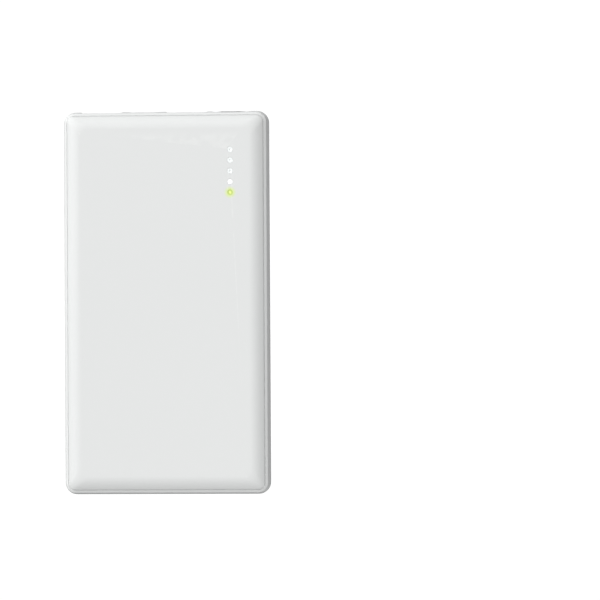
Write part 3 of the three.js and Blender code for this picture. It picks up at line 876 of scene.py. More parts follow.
SATIN_SHELL: dict[str, Any] = {
    "colour": (0.735, 0.746, 0.742), "roughness": 0.48, "specular": 0.3, "drift": 0.012,
    "drift_size": 45.0, "grain_size": 0.22, "grain_depth": 0.0022, "handling": 0.05,
    "wear": 0.25, "wear_colour": (0.86, 0.87, 0.86), "dust": 0.05, "scratch_depth": 0.0012,
}
# the cover's finish, with the green lamp's glow painted into its colour round that lamp
COVER_PLASTIC = CoverWithPaintedGlow("satin_white_cover", **SATIN_SHELL)
CASE_PLASTIC = Finish("satin_white_case", **SATIN_SHELL)
BUTTON_PLASTIC = Finish(
    "polished_white_button", (0.74, 0.75, 0.748), roughness=0.3, drift=0.02, drift_size=4.0,
    grain_size=0.15, grain_depth=0.001, handling=0.12, handling_size=3.0, wear=0.3,
    wear_colour=(0.85, 0.86, 0.85), scratch_depth=0.002)
UNLIT_PIPE = PipeEnd(
    "milky_pipe", (0.93, 0.965, 0.96), roughness=0.28, drift=0.03, drift_size=0.8,
    grain_size=0.1, grain_depth=0.0008, core=(0.80, 0.84, 0.835),
    lamps=("light_pipe_1", "light_pipe_2", "light_pipe_3"))
WHITE_PIPE = PipeEnd(
    "lit_white_pipe", (0.86, 0.87, 0.87), roughness=0.3, drift=0.02, drift_size=0.6,
    grain_size=0.1, grain_depth=0.0008, core=(0.9, 0.92, 0.92), core_radius=0.68,
    lamps=("light_pipe_4",), core_light=(0.5, 0.52, 0.52))
GREEN_PIPE = PipeEnd(
    "lit_green_pipe", (0.44, 0.54, 0.14), roughness=0.3, drift=0.04, drift_size=0.5,
    grain_size=0.1, grain_depth=0.0008, core=(0.4, 0.5, 0.14), core_radius=0.4,
    lamps=("light_pipe_5",), ring_light=(0.14, 0.17, 0.06), core_light=(0.5, 0.56, 0.2))
BLACK_PLASTIC = Finish(
    "black_moulded", (0.012, 0.012, 0.013), roughness=0.5, grain_size=0.2, grain_depth=0.006,
    drift=0.3, drift_size=5.0, wear_colour=(0.06, 0.06, 0.06), dust=0.15)
CHIP_BLACK = Finish(
    "chip_compound", (0.02, 0.02, 0.021), roughness=0.55, grain_size=0.12, grain_depth=0.008,
    drift=0.35, drift_size=2.0, wear_colour=(0.08, 0.08, 0.08), dust=0.12)
SWITCH_WHITE = Finish(
    "switch_nylon", (0.62, 0.62, 0.58), roughness=0.38, grain_size=0.1, grain_depth=0.002,
    drift=0.06, drift_size=1.5)
BOARD_GREEN = CircuitBoard(
    "solder_resist", (0.012, 0.09, 0.038), roughness=0.3, drift=0.2, drift_size=7.0,
    grain_size=0.35, grain_depth=0.004, dust=0.1, wear_colour=(0.25, 0.22, 0.1))
INSULATING_PAPER = FibreFilm(
    "fish_paper", (0.62, 0.56, 0.42), roughness=0.62, drift=0.12, drift_size=6.0,
    grain_size=0.5, grain_depth=0.01)
SOCKET_STEEL = RolledMetal(
    "plated_steel", (0.62, 0.63, 0.64), roughness=0.24, drift=0.08, drift_size=3.0,
    grain_size=0.25, grain_depth=0.002, handling=0.12, handling_size=3.0,
    wear_colour=(0.4, 0.38, 0.34), scratch_depth=0.002)
TONGUE_WHITE = Finish(
    "socket_insulator_white", (0.78, 0.78, 0.75), roughness=0.4, grain_size=0.15,
    grain_depth=0.003, drift=0.05, drift_size=3.0)
TONGUE_BLACK = Finish(
    "socket_insulator_black", (0.015, 0.015, 0.016), roughness=0.42, grain_size=0.12,
    grain_depth=0.003, drift=0.25, drift_size=2.0, wear_colour=(0.07, 0.07, 0.07))
CONTACT_GOLD = RolledMetal(
    "gilt_contact", (0.9, 0.66, 0.26), roughness=0.22, drift=0.12, drift_size=0.8,
    grain_size=0.1, grain_depth=0.001, handling=0.1, handling_size=1.0, streak_width=0.05,
    wear_colour=(0.75, 0.6, 0.35))
SOLDER = Finish(
    "solder", (0.66, 0.67, 0.68), roughness=0.3, metallic=1.0, drift=0.15, drift_size=1.0,
    grain_size=0.25, grain_depth=0.012, wear_colour=(0.4, 0.4, 0.4))
FERRITE = Finish(
    "ferrite", (0.045, 0.046, 0.048), roughness=0.68, grain_size=0.2, grain_depth=0.02,
    drift=0.4, drift_size=2.5, wear=0.4, wear_colour=(0.14, 0.14, 0.14), dust=0.12)
CAN_METAL = RolledMetal(
    "drawn_can", (0.78, 0.79, 0.8), roughness=0.26, drift=0.06, drift_size=3.0,
    grain_size=0.3, grain_depth=0.002, wear_colour=(0.55, 0.55, 0.55), streak_width=0.08)
CERAMIC = Finish(
    "ceramic_tan", (0.36, 0.24, 0.13), roughness=0.45, grain_size=0.12, grain_depth=0.004,
    drift=0.25, drift_size=0.8, wear_colour=(0.5, 0.4, 0.3))
PHOSPHOR = Finish(
    "led_phosphor", (0.8, 0.62, 0.16), roughness=0.35, grain_size=0.08, grain_depth=0.004,
    drift=0.2, drift_size=0.5, wear_colour=(0.85, 0.8, 0.6))
SCREW_STEEL = Finish(
    "screw_steel", (0.5, 0.5, 0.51), roughness=0.3, metallic=1.0, grain_size=0.15,
    grain_depth=0.004, drift=0.15, drift_size=1.5, wear=0.5, wear_colour=(0.72, 0.72, 0.72))
POUCH_FOIL = CrinkledFoil(
    "pouch_laminate", (0.6, 0.61, 0.62), roughness=0.38, drift=0.06, drift_size=12.0,
    grain_size=0.8, grain_depth=0.006, handling=0.15, wear_colour=(0.75, 0.75, 0.75))
PALE_TAPE = FibreFilm(
    "double_sided_tape", (0.72, 0.69, 0.58), roughness=0.5, drift=0.06, drift_size=9.0,
    grain_size=0.6, grain_depth=0.008, fibre_size=0.4, fibre_share=0.25)
GREY_FOAM = OpenFoam(
    "grey_foam", (0.075, 0.08, 0.085), roughness=0.95, specular=0.2, drift=0.2,
    drift_size=4.0, grain_size=0.3, grain_depth=0.03, wear=0.05)
NICKEL = RolledMetal(
    "nickel_strip", (0.66, 0.64, 0.59), roughness=0.3, drift=0.08, drift_size=2.5,
    grain_size=0.4, grain_depth=0.003, wear_colour=(0.5, 0.48, 0.42), streak_depth=0.004)
RED_INSULATION = Finish(
    "red_insulation", (0.42, 0.02, 0.015), roughness=0.42, drift=0.1, drift_size=2.0,
    grain_size=0.15, grain_depth=0.004, wear_colour=(0.5, 0.12, 0.1))
BLACK_INSULATION = Finish(
    "black_insulation", (0.013, 0.013, 0.014), roughness=0.42, drift=0.25, drift_size=2.0,
    grain_size=0.15, grain_depth=0.004, wear_colour=(0.07, 0.07, 0.07))


# ------------------------------------------------------------------ pieces

SHARP_ANGLE = math.radians(38)
BEVEL_ANGLE = math.radians(40)
USB_A_SHELLS = numbered("usb_a_shell", 2)
USB_C_HALF_HEIGHT = 1.63


@dataclass
class Assembly:
    """A group of pieces that are built and dressed together."""

    pieces: list[bpy.types.Object] = field(default_factory=list, init=False, repr=False)

    def build(self) -> None:
        """Builds and dresses every piece."""
        raise NotImplementedError

    def add(
        self,
        body: Body,
        name: str,
        finishes: Sequence[Finish],
        nodes: Sequence[str] = (),
        slot: str | None = None,
        rides: str = "case",
    ) -> bpy.types.Object:
        """Turns a body into a finished piece.

        Args:
            body: The piece's mesh in the making.
            name: The piece's name.
            finishes: What its faces are finished in.
            nodes: The frame's nodes that it stands for.
            slot: The frame's material slot of the piece; not used.
            rides: The frame's body that it moves with.

        Returns:
            The piece.
        """
        piece = body.placed(name, MM)
        for finish in finishes:
            piece.data.materials.append(finish.material())
        for face in piece.data.polygons:
            face.use_smooth = True
        piece.data.set_sharp_from_angle(angle=SHARP_ANGLE)
        piece.modifiers.new("even_shading", "WEIGHTED_NORMAL").keep_sharp = True
        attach(piece, rides)
        if nodes:
            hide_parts(*nodes)
        self.pieces.append(piece)
        LOG.info("%s: %d faces, rides on %s", name, len(piece.data.polygons), rides)
        return piece

    def keep(self, node: str, finish: Finish, edge: float = 0.0) -> None:
        """Shows a node of the frame as it is, in a finish of ours.

        Args:
            node: The node's name.
            finish: What it is finished in.
            edge: How far its edges are softened.
        """
        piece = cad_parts[node]
        piece.data.materials.clear()
        piece.data.materials.append(finish.material())
        if edge:
            piece.modifiers.new("weld", "WELD").merge_threshold = 1e-6
            bevel = piece.modifiers.new("soft_edges", "BEVEL")
            bevel.width = edge * MM
            bevel.segments = 3
            bevel.limit_method = "ANGLE"
            bevel.angle_limit = BEVEL_ANGLE
        self.pieces.append(piece)
        LOG.info("%s: kept from the frame", node)


@dataclass
class Shells(Assembly):
    """The two plastic shells that snap together."""

    width: float = 70.0
    length: float = 130.0
    height: float = 14.0
    corner: float = 4.0
    corner_steps: int = 14
    foot_inset: float = 4.4
    foot_height: float = 5.0
    foot_corner: float = 2.6
    wall_top: float = 6.5
    lean_top: float = 10.6
    lean_inset: float = 0.68
    lean_power: float = 1.3
    rim_low: float = 10.85
    rim_inset: float = 0.88
    rim_top: float = 11.35
    groove_outer: float = 1.58
    groove_step: float = 11.2
    groove_gap: float = 0.015
    shelf_top: float = 10.6
    shelf_gap: float = 0.1
    wall_inset: float = 2.2
    bevel_top: float = 3.4
    bevel_inset: float = 3.6
    bevel_bend: Point = (0.4, 0.6)
    bevel_corners: Point = (1.5, 1.2)
    floor_top: float = 1.4
    cover_inset: float = 1.75
    roll_radius: float = 6.0
    roll_sweep: float = math.radians(50)
    roll_kept: float = 0.96
    lip_bend: Point = (0.08, 0.5)
    face_corner: float = 3.0
    skirt_outer: float = 2.35
    skirt_inner: float = 3.35
    skirt_bottom: float = 9.2
    skirt_corner: float = 0.8
    ceiling: float = 12.5
    ceiling_inset: float = 5.0
    hook_reach: float = 0.45
    hook_bottom: float = 9.3
    hook_top: float = 10.2
    hook_length: float = 6.0
    hook_root: float = -0.3
    side_hooks: tuple[float, ...] = (-42.0, 0.0, 40.0)
    end_hooks: tuple[float, ...] = (-18.0, 18.0)
    pocket_length: float = 6.6
    pocket_clearance: float = 0.3
    boss_top: float = 2.3
    pilot_radius: float = 0.9
    fence_size: Triple = (58.0, 0.8, 4.8)
    fence_middle: float = 35.35
    opening_gap: float = 0.3
    opening_lip: float = 0.3
    opening_end: float = 61.0
    usb_a_corner: float = 0.9
    usb_c_corner: float = 1.9
    usb_c_half_width: float = 4.47
    cap_half_width: float = 5.0
    cap_half_height: float = 1.7
    cap_gap: float = 0.2
    recess_gap: float = 1.45
    recess_corner: float = 2.9
    recess_floor: float = 64.3
    recess_round: float = 0.3
    light_hole: float = 0.95
    rib_width: float = 1.2
    rib_length: float = 9.0

    def section(self, inset: float, z: float, radius: float) -> Section:
        """A section of a shell at this inset from its full size."""
        return Section(self.width / 2 - inset, self.length / 2 - inset, radius, z)

    def outer_wall(self) -> list[Point]:
        """The outside of the case, as insets and heights from the underside to the rim."""
        points = []
        foot_steps, wall_steps, rim_steps = 16, 8, 6
        for step in range(foot_steps + 1):
            turn = QUARTER * step / foot_steps
            points.append((
                self.foot_inset * (1 - math.sin(turn)), self.foot_height * (1 - math.cos(turn))))
        for step in range(wall_steps + 1):
            share = step / wall_steps
            rise = self.wall_top + (self.lean_top - self.wall_top) * share
            points.append((self.lean_inset * share**self.lean_power, rise))
        bend = (self.lean_inset + 0.04, self.lean_top + 0.15)
        return points + bent(points[-1], bend, (self.rim_inset, self.rim_low), rim_steps)

    def wall_face(self, z: float) -> float:
        """Where the outside of the end wall is at this height."""
        points = self.outer_wall()
        for (inset, low), (next_inset, high) in zip(points, points[1:]):
            if low <= z <= high:
                share = (z - low) / (high - low)
                return self.length / 2 - inset - (next_inset - inset) * share
        return self.length / 2 - points[-1][0]

    def case_sections(self) -> list[Section]:
        """The case's sections, from its underside over the rim to its floor."""
        made = []
        for inset, z in self.outer_wall():
            share = inset / self.foot_inset
            foot = self.corner + (self.foot_corner - self.corner) * share
            made.append(self.section(
                inset, z, foot if z < self.foot_height else self.corner - inset))
        rim_round = 0.07
        for back, drop in rounding(rim_round, 3):
            inset = self.groove_outer - back
            made.append(self.section(inset, self.rim_top - drop, self.corner - inset))
        for inset, z in (
            (self.groove_outer, self.shelf_top),
            (self.wall_inset, self.shelf_top),
            (self.wall_inset, self.bevel_top),
        ):
            made.append(self.section(inset, z, self.corner - inset))
        (back, rise), (upper, lower) = self.bevel_bend, self.bevel_corners
        made.append(self.section(self.wall_inset + back, self.floor_top + rise, upper))
        made.append(self.section(self.bevel_inset, self.floor_top, lower))
        return made

    def cover_sections(self) -> list[Section]:
        """The cover's sections, from its ceiling down its skirt and over its face."""
        edge_corner = self.corner - self.cover_inset
        skirt_corner = self.corner - self.skirt_outer
        seat = self.shelf_top + self.shelf_gap
        lip_inset = self.groove_outer + self.groove_gap
        face_inset = self.cover_inset + self.roll_radius * math.sin(self.roll_sweep)
        start = self.roll_sweep * self.roll_kept
        roll_start = (face_inset - self.roll_radius * math.sin(start),
                      self.height - self.roll_radius * (1 - math.cos(start)))
        lip = (lip_inset, self.groove_step)
        made = [
            self.section(self.ceiling_inset, self.ceiling, self.skirt_corner),
            self.section(self.ceiling_inset - 0.9, self.ceiling - 0.25, self.skirt_corner),
            self.section(self.skirt_inner, self.ceiling - 1, self.skirt_corner),
            self.section(self.skirt_inner, self.skirt_bottom, self.skirt_corner),
            self.section(self.skirt_outer, self.skirt_bottom, skirt_corner),
            self.section(self.skirt_outer, seat, skirt_corner),
            self.section(lip_inset, seat, edge_corner),
            self.section(*lip, edge_corner),
        ]
        bend = (lip_inset + self.lip_bend[0], self.groove_step + self.lip_bend[1])
        lip_steps, roll_steps = 7, 28
        for inset, z in bent(lip, bend, roll_start, lip_steps):
            made.append(self.section(inset, z, edge_corner))
        for step in range(1, roll_steps + 1):
            turn = start * (1 - step / roll_steps)
            inset = face_inset - self.roll_radius * math.sin(turn)
            share = (inset - self.cover_inset) / (face_inset - self.cover_inset)
            radius = edge_corner + (self.face_corner - edge_corner) * share
            z = self.height - self.roll_radius * (1 - math.cos(turn))
            made.append(self.section(inset, z, radius))
        return made

    def opening(
        self, seat: Seat, grow: float, radius: float, lip: float, floor: float
    ) -> list[list[Vector]]:
        """The rings that cut an opening with a rounded lip into the end wall.

        Args:
            seat: The box that the opening goes round.
            grow: How much wider than the box it is on each side.
            radius: Its corner radius.
            lip: Radius of its lip.
            floor: Where the cut ends.

        Returns:
            Rings from outside the wall to the floor of the cut.
        """
        half_width, half_height = seat.size.x / 2 + grow, seat.size.z / 2 + grow
        rings = []
        for back, drop in [(lip, None), *rounding(lip), (0.0, None)]:
            shape = Section(half_width + back, half_height + back, radius + back, 0)
            ring = []
            for across, rise in rounded_outline(shape, 8):
                z = seat.centre.z + rise
                if drop is None:
                    y = self.length / 2 + 1.5 if back else floor
                else:
                    y = self.wall_face(z) - drop + SMALLEST_GAP
                ring.append(Vector((seat.centre.x + across, y, z)))
            rings.append(ring)
        return rings

    def hooks(self, inset: float, length: float, clearance: float) -> Body:
        """The snap hooks, or the pockets that they sit in when there is a clearance.

        Args:
            inset: Inset of the face that they stand on.
            length: Their length.
            clearance: How much bigger than a hook a pocket is.

        Returns:
            All of them in one body.
        """
        ramp = -clearance if clearance else 0.2
        outline = [
            (self.hook_root, self.hook_bottom - clearance),
            (0.0, self.hook_bottom - clearance),
            (self.hook_reach, self.hook_bottom + ramp),
            (self.hook_reach, self.hook_top - 0.2 + clearance),
            (0.0, self.hook_top + clearance / 2),
            (self.hook_root, self.hook_top + clearance / 2),
        ]
        made = Body()
        for place in self.side_hooks:
            for side, turn in ((1, 0.0), (-1, math.pi)):
                spot = Vector((side * (self.width / 2 - inset), place, 0))
                made.prism(outline, length, moved(spot, turn))
        for place in self.end_hooks:
            spot = Vector((place, inset - self.length / 2, 0))
            made.prism(outline, length, moved(spot, -QUARTER))
        return made

    def bottom_case(self) -> Body:
        """The deep shell, with its bosses, fence and openings."""
        extras, cutters = Body(), Body()
        root, top, pilot = self.floor_top - 0.3, self.boss_top, self.pilot_radius
        for node in numbered("board_screw", SCREW_COUNT):
            screw = Seat.of(node).centre
            place = (screw.x, screw.y)
            extras.turned([(2.6, root), (2.1, self.floor_top + 0.3), (2.0, top - 0.1),
                           (1.9, top)], place, 40)
            cutters.turned([(pilot, 0.9), (pilot, top - 0.15), (pilot + 0.2, top + 1)], place, 24)
        fence = (0.0, self.fence_middle, self.floor_top - 0.2)
        extras.block(self.fence_size, fence, 0.2, 0.15)
        mouths = [(Seat.of(name), self.usb_a_corner) for name in USB_A_SHELLS]
        round_mouth = Seat.of("usb_c_tongue").mouth(self.usb_c_half_width, USB_C_HALF_HEIGHT)
        mouths.append((round_mouth, self.usb_c_corner))
        for seat, corner in mouths:
            cutters.loft_through(self.opening(
                seat, self.opening_gap, corner, self.opening_lip, self.opening_end))
        cutters.loft_through(self.button_opening())
        body = Body().loft(self.case_sections(), steps=self.corner_steps)
        body.combined(extras, Combining.JOIN)
        body.combined(cutters, Combining.CUT)
        pockets = self.hooks(self.wall_inset, self.pocket_length, self.pocket_clearance)
        return body.combined(pockets, Combining.CUT)

    def button_opening(self) -> list[list[Vector]]:
        """The rings that cut the finger recess and the button's hole."""
        cap = Seat.of("power_button")
        width, height, floor = self.cap_half_width, self.cap_half_height, self.recess_floor
        rings = self.opening(cap.mouth(width, height), self.recess_gap, self.recess_corner, 0.35,
                             floor + self.recess_round)
        steps = [
            (self.recess_gap - back, floor + self.recess_round - rise)
            for rise, back in rounding(self.recess_round)
        ]
        hole = [(self.cap_gap + back, floor - drop) for back, drop in rounding(0.12)]
        for grow, y in [*steps, *hole, (self.cap_gap, self.opening_end)]:
            shape = Section(width + grow, height + grow, height - SMALLEST_GAP + grow, y)
            rings.append([
                Vector((cap.centre.x + across, y, cap.centre.z + rise))
                for across, rise in rounded_outline(shape, 8)
            ])
        return rings

    def top_cover(self) -> Body:
        """The face shell, with its hooks, ribs and five round holes."""
        cutters = Body()
        lip_round, hole = 0.04, self.light_hole
        lip = [(hole + back, self.height - drop) for back, drop in rounding(lip_round)]
        profile = [(0.99, self.height + 1), *lip, (hole, self.ceiling - 1)]
        for node in numbered("light_pipe", LIGHT_COUNT):
            lamp = Seat.of(node).centre
            cutters.turned(profile, (lamp.x, lamp.y), 40)
        end = self.length / 2 - self.skirt_outer
        cutters.block((self.width - 10.7, 2.4, 2.4), (0, end - 0.5, 8.2), 0.2, 0.1)
        ribs = Body()
        for name in USB_A_SHELLS:
            socket = Seat.of(name)
            low = socket.high.z + 0.1
            ribs.block((self.rib_width, self.rib_length, self.ceiling + 0.2 - low),
                       (socket.centre.x, socket.high.y - 8.0, low), 0.3, 0.15)
        body = Body().loft(self.cover_sections(), steps=self.corner_steps)
        body.combined(cutters, Combining.CUT)
        body.combined(self.hooks(self.skirt_outer, self.hook_length, 0.0), Combining.JOIN)
        return body.combined(ribs, Combining.JOIN)

    def build(self) -> None:
        """Builds and dresses both shells."""
        self.add(self.bottom_case(), "case_shell", [CASE_PLASTIC], ["bottom_case"],
                 "case_plastic")
        self.add(self.top_cover(), "cover_shell", [COVER_PLASTIC], ["top_cover"],
                 "cover_plastic")


@dataclass
class StatusLights(Assembly):
    """Five light pipes over five small lamps in a black block."""

    pipe_radius: float = 0.88
    end_radius: float = 0.925
    flange_radius: float = 1.3
    flange_thickness: float = 0.5
    flange_drop: float = 1.65
    edge: float = 0.05
    dimple_radius: float = 0.34
    dimple_depth: float = 0.2

    def pipe_profile(self, seat: Seat) -> list[Point]:
        """A pipe's radii and heights, from its foot to the dimple in its end."""
        foot, top = seat.low.z, seat.high.z
        flange = top - self.flange_drop
        back = self.flange_thickness
        profile = [
            (self.pipe_radius - 0.08, foot), (self.pipe_radius, foot + 0.08),
            (self.pipe_radius, flange - back), (self.flange_radius, flange - back),
            (self.flange_radius, flange), (self.pipe_radius, flange),
            (self.pipe_radius, top - 0.6), (self.end_radius, top - 0.5),
        ]
        profile += [(self.end_radius - back, top - drop)
                    for back, drop in reversed(rounding(self.edge))]
        steps = 8
        for step in range(steps + 1):
            turn = math.pi * step / steps
            radius = self.dimple_radius * (1.35 - 1.1 * step / steps)
            profile.append((radius, top - self.dimple_depth * (1 - math.cos(turn)) / 2))
        return profile

    def build(self) -> None:
        """Builds and dresses the pipes, the lamps and their block."""
        finishes = [UNLIT_PIPE] * 3 + [WHITE_PIPE, GREEN_PIPE]
        slots = ["pipe_unlit"] * 3 + ["pipe_white", "pipe_green"]
        cutters = Body()
        for number, (finish, slot) in enumerate(zip(finishes, slots), start=1):
            node = f"light_pipe_{number}"
            seat = Seat.of(node)
            centre = (seat.centre.x, seat.centre.y)
            pipe = Body().turned(self.pipe_profile(seat), centre, 40)
            self.add(pipe, f"status_light_{number}", [finish], [node], slot)
            lamp = Seat.of(f"indicator_led_{number}")
            x, y, foot = lamp.foot
            chip = Body().block((1.6, 0.8, 0.3), (x, y, foot), 0.08, 0.04, look=1)
            chip.block((1.15, 0.78, 0.46), (x, y, foot + 0.29), 0.1, 0.08)
            self.add(chip, f"lamp_chip_{number}", [PHOSPHOR, TONGUE_WHITE],
                     [f"indicator_led_{number}"], "led_body")
            cutters.turned([(1.05, 3.0), (1.05, 11.35), (1.3, 12.5)], centre, 32)
        block = Seat.of("light_shield")
        shield = Body().block(block.size, block.foot, 0.5, 0.15)
        shield.combined(cutters, Combining.CUT)
        self.add(shield, "light_block", [BLACK_PLASTIC], ["light_shield"], "black_plastic")


@dataclass
class SocketRow(Assembly):
    """Two output sockets and the charging socket."""

    skin_a: float = 0.35
    skin_c: float = 0.3
    mouth_edge: float = 0.12
    block_depth_a: float = 3.5
    block_depth_c: float = 1.3
    blade_a: Point = (11.1, 1.84)
    blade_c: Point = (6.69, 0.7)
    blade_rise_a: float = 0.98
    spring_offset: float = 3.2
    spring_depth: float = 5.2
    spring_length: float = 3.4
    contact_pitch: float = 0.5
    contact_columns: int = 12

    def shell(self, seat: Seat, half_height: float, radius: float, skin: float) -> Body:
        """A drawn shell, which is open at its mouth.

        Args:
            seat: The box of the shell.
            half_height: Half its height, without any legs.
            radius: Radius of its outer corners.
            skin: Thickness of its metal.

        Returns:
            The shell's body.
        """
        back, mouth = seat.low.y, seat.high.y
        half_width = seat.size.x / 2
        edge = self.mouth_edge
        levels = [(0.25, back), (0.07, back + 0.08), (0.0, back + 0.25), (0.0, mouth - edge)]
        levels += [(edge * share, mouth - edge * (1 - share)) for share in (0.3, 0.7, 1.0)]
        levels += [(skin - 0.02, mouth), (skin, mouth - 0.05), (skin, back + skin)]
        sections = [
            Section(half_width - inset, half_height - inset, radius - inset * 0.8, along)
            for inset, along in levels
        ]
        return Body().loft(sections, Axis.OUT, (seat.centre.x, seat.high.z - half_height), 8)

    def usb_a(self, number: int) -> None:
        """Builds and dresses one output socket."""
        node = f"usb_a_shell_{number}"
        seat = Seat.of(node)
        x, mouth, z = seat.centre.x, seat.high.y, seat.centre.z
        shell = self.shell(seat, seat.size.z / 2, 0.6, self.skin_a)
        springs = Body()
        inner = seat.size.z / 2 - self.skin_a
        outline = [(-1.0, inner + 0.1), (1.0, inner + 0.1), (0.8, inner - 0.3),
                   (-0.8, inner - 0.3)]
        for turn in (math.pi, 0.0):
            for offset in (-self.spring_offset, self.spring_offset):
                spot = (x + offset, mouth - self.spring_depth, z)
                springs.prism(outline, self.spring_length, moved(spot, turn, "Y"))
        shell.combined(springs, Combining.JOIN)
        self.add(shell, f"output_shell_{number}", [SOCKET_STEEL], [node], "socket_steel")

        tongue = Seat.of(f"usb_a_tongue_{number}")
        back = tongue.low.y
        insulator = Body().block(
            (tongue.size.x, tongue.size.z, 4.0), (x, z, back), 0.3, 0.12, Axis.OUT)
        root = self.block_depth_a
        blade = Body().block((*self.blade_a, tongue.high.y - back - root),
                             (x, z + self.blade_rise_a, back + root), 0.25, 0.2, Axis.OUT)
        insulator.combined(blade, Combining.JOIN)
        self.add(insulator, f"output_insulator_{number}", [TONGUE_WHITE],
                 [f"usb_a_tongue_{number}"], "tongue_white")
        contacts = Body()
        for offset, length in ((-3.5, 8.2), (-1.0, 7.2), (1.0, 7.2), (3.5, 8.2)):
            contacts.block((1.0, 0.22, length), (x + offset, z + 0.02, back + 3.9), 0.08, 0.06,
                           Axis.OUT)
        self.add(contacts, f"output_contacts_{number}", [CONTACT_GOLD])

    def usb_c(self) -> None:
        """Builds and dresses the charging socket."""
        seat, tongue = Seat.of("usb_c_shell"), Seat.of("usb_c_tongue")
        x, mouth, z = seat.centre.x, seat.high.y, tongue.centre.z
        shell = self.shell(seat, USB_C_HALF_HEIGHT, 1.6, self.skin_c)
        legs = Body()
        for side in (-1, 1):
            for along in (-2.0, -5.5):
                legs.block((0.3, 1.0, z - 0.3 - seat.low.z),
                           (x + side * (seat.size.x / 2 - 0.16), mouth + along, seat.low.z),
                           0.1, 0.05)
        shell.combined(legs, Combining.JOIN)
        self.add(shell, "charging_shell", [SOCKET_STEEL], ["usb_c_shell"], "socket_steel")
        back = tongue.low.y
        insulator = Body().block(
            (tongue.size.x, tongue.size.z, 1.8), (x, z, back), 1.1, 0.1, Axis.OUT)
        root = self.block_depth_c
        blade = Body().block((*self.blade_c, tongue.high.y - back - root), (x, z, back + root),
                             0.2, 0.15, Axis.OUT)
        insulator.combined(blade, Combining.JOIN)
        self.add(insulator, "charging_insulator", [TONGUE_BLACK], ["usb_c_tongue"],
                 "tongue_black")
        contacts = Body()
        middle = (self.contact_columns - 1) / 2
        for column in range(self.contact_columns):
            across = x + (column - middle) * self.contact_pitch
            for side in (-1, 1):
                contacts.block((0.27, 0.08, 3.4), (across, z + side * 0.34, back + 1.75), 0.03,
                               0.02, Axis.OUT)
        self.add(contacts, "charging_contacts", [CONTACT_GOLD])

    def build(self) -> None:
        """Builds and dresses all three sockets."""
        self.usb_a(1)
        self.usb_a(2)
        self.usb_c()


@dataclass
class PushButton(Assembly):
    """The cap in the end wall and the switch that it presses."""

    head_half_width: float = 5.0
    head_half_height: float = 1.7
    head_edge: float = 0.35
    dish_depth: float = 0.14
    flange_half_width: float = 6.0
    flange_half_height: float = 2.6
    flange_corner: float = 1.2
    flange_back: float = 61.9
    flange_front: float = 62.65
    flange_edge: float = 0.15

    def head(self, inset: float, y: float) -> Section:
        """A section of the cap's head at this inset from its full size."""
        height = self.head_half_height - inset
        return Section(self.head_half_width - inset, height, height, y)

    def flange(self, inset: float, y: float) -> Section:
        """A section of the flange at this inset from its full size."""
        return Section(self.flange_half_width - inset, self.flange_half_height - inset,
                       self.flange_corner - inset, y)

    def cap(self) -> Body:
        """The cap, from the end of its stem to its dished face."""
        seat = Seat.of("power_button")
        end, face = seat.low.y, seat.high.y
        back_face, front_face, edge = self.flange_back, self.flange_front, self.flange_edge
        sections = [
            Section(1.35, 0.85, 0.25, end), Section(1.5, 1.0, 0.3, end + 0.15),
            Section(1.5, 1.0, 0.3, back_face - 0.2), Section(1.7, 1.2, 0.4, back_face),
        ]
        sections += [self.flange(back, back_face + rise) for back, rise in rounding(edge)]
        sections += [
            self.flange(back, front_face - drop) for back, drop in reversed(rounding(edge))]
        sections += [self.head(-0.12, front_face), self.head(0.0, front_face + 0.12)]
        sections += [
            self.head(back, face - drop) for back, drop in reversed(rounding(self.head_edge, 6))]
        steps = 8
        for step in range(1, steps + 1):
            share = step / steps
            inset = self.head_edge + (self.head_half_height - self.head_edge - 0.15) * share
            dish = self.dish_depth * (1 - math.cos(math.pi * share)) / 2
            sections.append(self.head(inset, face - dish))
        return Body().loft(sections, Axis.OUT, (seat.centre.x, seat.centre.z), 10)

    def switch(self) -> Body:
        """The switch's body, with the pocket that its plunger sinks into."""
        seat, plunger = Seat.of("switch_body"), Seat.of("switch_plunger")
        body = Body().block(seat.size, seat.foot, 0.4, 0.2)
        pocket = Body().block(
            (plunger.size.x + 0.2, plunger.size.z + 0.2, 2.4),
            (seat.centre.x, plunger.centre.z, seat.high.y - 1.4), 0.3, 0.05, Axis.OUT)
        body.combined(pocket, Combining.CUT)
        return body

    def build(self) -> None:
        """Builds and dresses the cap, the switch and its plunger."""
        self.add(self.cap(), "button_cap", [BUTTON_PLASTIC], ["power_button"],
                 "button_plastic", "button")
        self.add(self.switch(), "press_switch", [BLACK_PLASTIC], ["switch_body"],
                 "switch_black")
        seat = Seat.of("switch_plunger")
        plunger = Body().block(
            (seat.size.x, seat.size.z, seat.size.y), (seat.centre.x, seat.centre.z, seat.low.y),
            0.3, 0.15, Axis.OUT)
        self.add(plunger, "press_plunger", [SWITCH_WHITE], ["switch_plunger"], "switch_white",
                 "plunger")


@dataclass(frozen=True)
class PlatedChip:
    """A small chip with plated ends."""

    core: Triple
    end: Triple
    end_offset: float
    lift: float
    core_edges: Point
    end_edges: Point

    def put(self, body: Body, x: float, y: float, foot: float) -> Body:
        """Adds one of these chips to a body.

        Args:
            body: The body, whose second look is the plating.
            x: The chip's place across the board.
            y: Its place along the board.
            foot: The height of its underside.

        Returns:
            The body.
        """
        body.block(self.core, (x, y, foot + self.lift), *self.core_edges)
        for side in (-1, 1):
            base = (x + side * self.end_offset, y, foot)
            body.block(self.end, base, *self.end_edges, look=1)
        return body


CERAMIC_CHIP = PlatedChip(
    (1.3, 1.19, 1.19), (0.45, 1.25, 1.25), 0.775, 0.03, (0.06, 0.05), (0.12, 0.1))
RESISTOR = PlatedChip((0.7, 0.52, 0.3), (0.18, 0.56, 0.34), 0.42, 0.02, (0.04, 0.03), (0.04, 0.03))


